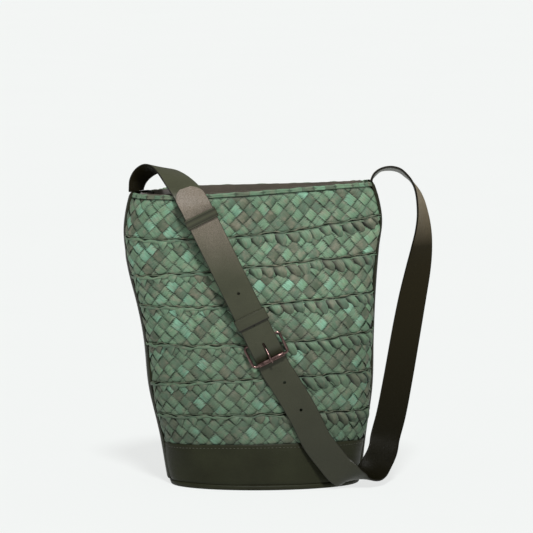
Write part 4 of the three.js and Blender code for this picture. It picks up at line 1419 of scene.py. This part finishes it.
def keeper(name, node, body, down, width, inmost_layer, grooves, rim):
    """A loop of leather round the strap's layers. The dark edge colour is put in its two grooves, by a
    share, on its lower rim from a share of its half width onwards, where a wide one is a painted
    shadow line, and faintly on its upper rim."""
    back = inmost_layer + STRAP / 2
    front = UPPER_LAYER_Y - STRAP / 2
    middle = (back + front) / 2
    half = (back - front) / 2 + KEEPER_CLEAR + KEEPER_WALL / 2
    outline = rounded_rectangle(STRAP_WIDTH / 2 + KEEPER_CLEAR + KEEPER_WALL / 2, -half, half,
                                KEEPER_CORNER, 6, 8)
    centre = np.array(HINGE_BAR + DOWN_STRAP * down)
    centre[1] = middle
    path = centre + outline[:, :1] * np.array(ACROSS_STRAP) + outline[:, 1:] * np.array((0, 1, 0))
    section = section_round(KEEPER_WALL / 2, width / 2, 44, 7)
    shape = Shape()
    rings = closed_rod(path, np.array(DOWN_STRAP), section)
    reach = np.abs(section[:, 1]) / width * 2
    # painted shadow: on the lower rim the dark edge colour reaches in from the share rim, and a wide one
    # stands for the shadow line below the keeper
    rims = np.where(section[:, 1] > 0, smooth((reach - rim) / 0.1), 0.3 * smooth((reach - 0.84) / 0.1))
    grooved = np.where((reach > GROOVE[0]) & (reach < GROOVE[1]), grooves, rims)
    shape.tube(rings, closed=True, edge=np.broadcast_to(grooved, rings.shape[:2]))
    obj = shape.build(name, sharp=60)
    return dress(obj, [STRAP_LEATHER], [node], body)


def keepers():
    # the sewn keeper's wide dark lower rim is a painted shadow line
    keeper("sewn_keeper", "keeper_fixed", "strap", down=-0.023, width=0.012,
           inmost_layer=RETURN_LAYER_Y, grooves=0.1, rim=0.72)
    keeper("loose_keeper", "keeper_sliding", "keeper", down=-0.135, width=0.010,
           inmost_layer=UNDER_LAYER_Y, grooves=0.7, rim=0.84)


def buckle_frame():
    outline = rounded_rectangle(BUCKLE_HALF_WIDTH, 0, FRAME_LENGTH, FRAME_CORNER, 8, 6)
    path = (np.array(HINGE_BAR) + outline[:, :1] * np.array(ACROSS_STRAP)
            + outline[:, 1:] * np.array(FRAME_DOWN))
    shape = Shape()
    shape.tube(closed_rod(path, np.array(FRAME_NORMAL), section_round(WIRE, WIRE, 20)), closed=True)
    obj = shape.build("bronze_frame")
    return dress(obj, [BRONZE], ["buckle_frame"], "buckle")


def lathe(shape, centre, axis, profile, notch=0.0):
    """A ring round an axis with a closed profile of (radius, along) pairs. A notch is a seam down its
    front."""
    side = unit(np.array((0, -1.0, 0)) + 0.12 * np.array(DOWN_STRAP))
    up = np.cross(np.array(axis), side)
    turn = np.linspace(0, 2 * np.pi, 48, endpoint=False)
    profile = np.array(profile)
    sunk = np.where(np.isin(np.arange(48), (47, 0, 1)), notch, 0)[:, None]
    radius = profile[None, :, 0] - sunk * (profile[None, :, 0] > ROLLER_BORE * 1.2)
    radial = np.cos(turn)[:, None, None] * side + np.sin(turn)[:, None, None] * up
    rings = np.array(centre) + radial * radius[..., None] + profile[None, :, 1, None] * np.array(axis)
    shape.tube(rings, closed=True)


def bevelled(inner, outer, half, bevel, between=()):
    """The profile of a short tube with bevelled ends, with points between them at shares of its half."""
    return [(inner, -half), (outer - bevel, -half), (outer, -half + bevel),
            *[(outer, half * share) for share in between],
            (outer, half - bevel), (outer - bevel, half), (inner, half)]


def buckle_roller():
    profile = bevelled(ROLLER_BORE, ROLLER_RADIUS, ROLLER_HALF_LENGTH, ROLLER_BEVEL, (-0.5, 0, 0.5))
    shape = Shape()
    lathe(shape, HINGE_BAR + FRAME_DOWN * FRAME_LENGTH, ACROSS_STRAP, profile, notch=ROLLER_SEAM)
    obj = shape.build("bronze_roller")
    return dress(obj, [BRONZE], ["buckle_roller"], "roller")


def buckle_prong():
    """The prong: an eye round the hinge bar and a shank that lies over the strap to the roller."""
    rows = [level(down, y) for down, y in PRONG_ROWS]
    at = np.linspace(0, len(rows) - 1, 40)
    path = through([row[0] for row in rows], at)
    ahead = unit(np.gradient(path, axis=0))
    across = np.broadcast_to(np.array(ACROSS_STRAP), path.shape)
    out = unit(np.cross(ahead, across))
    size = np.interp(at, *zip(*PRONG_SIZES))
    section = section_round(1, 1, 16, 2.3)
    shape = Shape()
    wide, thick = np.moveaxis(size[:, None, None] * section, -1, 0)[..., None]
    shape.tube(path[:, None] + across[:, None] * wide + out[:, None] * thick)
    lathe(shape, HINGE_BAR, ACROSS_STRAP,
          bevelled(WIRE + EYE_CLEAR, EYE_RADIUS, EYE_HALF_LENGTH, EYE_BEVEL))
    obj = shape.build("bronze_prong")
    return dress(obj, [BRONZE], ["buckle_prong"], "prong")


# ---- stage, light and camera --------------------------------------------------------------------


def stage():
    bpy.ops.mesh.primitive_plane_add(size=80, location=(0, 0, 0))
    floor = bpy.context.object
    floor.name = "floor"
    n = Nodes("pale_floor")
    speck = n.noise(n.place(), 3.0, 2.0)
    n.set(Base_Color=n.blend(speck, colour("686b6a"), colour("6b6e6d")))
    n.set(Roughness=0.9, Specular_IOR_Level=0.1)
    n.set(Emission_Color=(0.985, 1.0, 0.992, 1), Emission_Strength=0.745)
    floor.data.materials.append(n.material)


def sun(name, direction, strength, angle):
    light = bpy.data.lights.new(name, "SUN")
    light.energy = strength
    light.angle = math.radians(angle)
    obj = bpy.data.objects.new(name, light)
    obj.rotation_euler = Vector(direction).to_track_quat("-Z", "Y").to_euler()
    bpy.context.scene.collection.objects.link(obj)


def light():
    world = bpy.data.worlds.new("studio")
    world.use_nodes = True
    world.node_tree.nodes["Background"].inputs["Color"].default_value = (1.0, 0.985, 0.94, 1)
    world.node_tree.nodes["Background"].inputs["Strength"].default_value = 0.28
    bpy.context.scene.world = world
    sun("key", (-0.02, 0.72, -0.86), 3.25, 9)
    sun("fill", (-0.8, 0.8, -0.35), 0.15, 60)


def camera():
    """The photograph's viewpoint: a little to the left and above, from far away."""
    azimuth, elevation, distance = math.radians(-5), math.radians(6), 4.0
    aim = Vector((0.001, 0, 0.216))
    picture, sensor = 0.533, 0.036
    back = Vector((math.sin(azimuth) * math.cos(elevation), -math.cos(azimuth) * math.cos(elevation),
                   math.sin(elevation)))
    lens = bpy.data.cameras.new("camera")
    lens.sensor_width = sensor * 1000
    lens.lens = sensor * 1000 * distance / picture
    lens.clip_end = 200
    obj = bpy.data.objects.new("camera", lens)
    obj.location = aim + back * distance
    obj.rotation_euler = (-back).to_track_quat("-Z", "Y").to_euler()
    bpy.context.scene.collection.objects.link(obj)
    bpy.context.scene.camera = obj


# ---- the whole scene ----------------------------------------------------------------------------

camera()
light()
stage()
bpy.context.scene.view_settings.view_transform = "Standard"

for back in (False, True):
    for number in range(1, BANDS + 1):
        plaited_band(back, number)
    rim_hem(back)
    rim_facing(back)
    base_band(back)
for right in (False, True):
    side_strip(right)
welt()
base_panel()
cloth = lining()
buckle_strap()
hole_strap()
keepers()
buckle_frame()
buckle_roller()
buckle_prong()
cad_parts["base_board"].data.materials.clear()
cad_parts["base_board"].data.materials.append(BOARD)
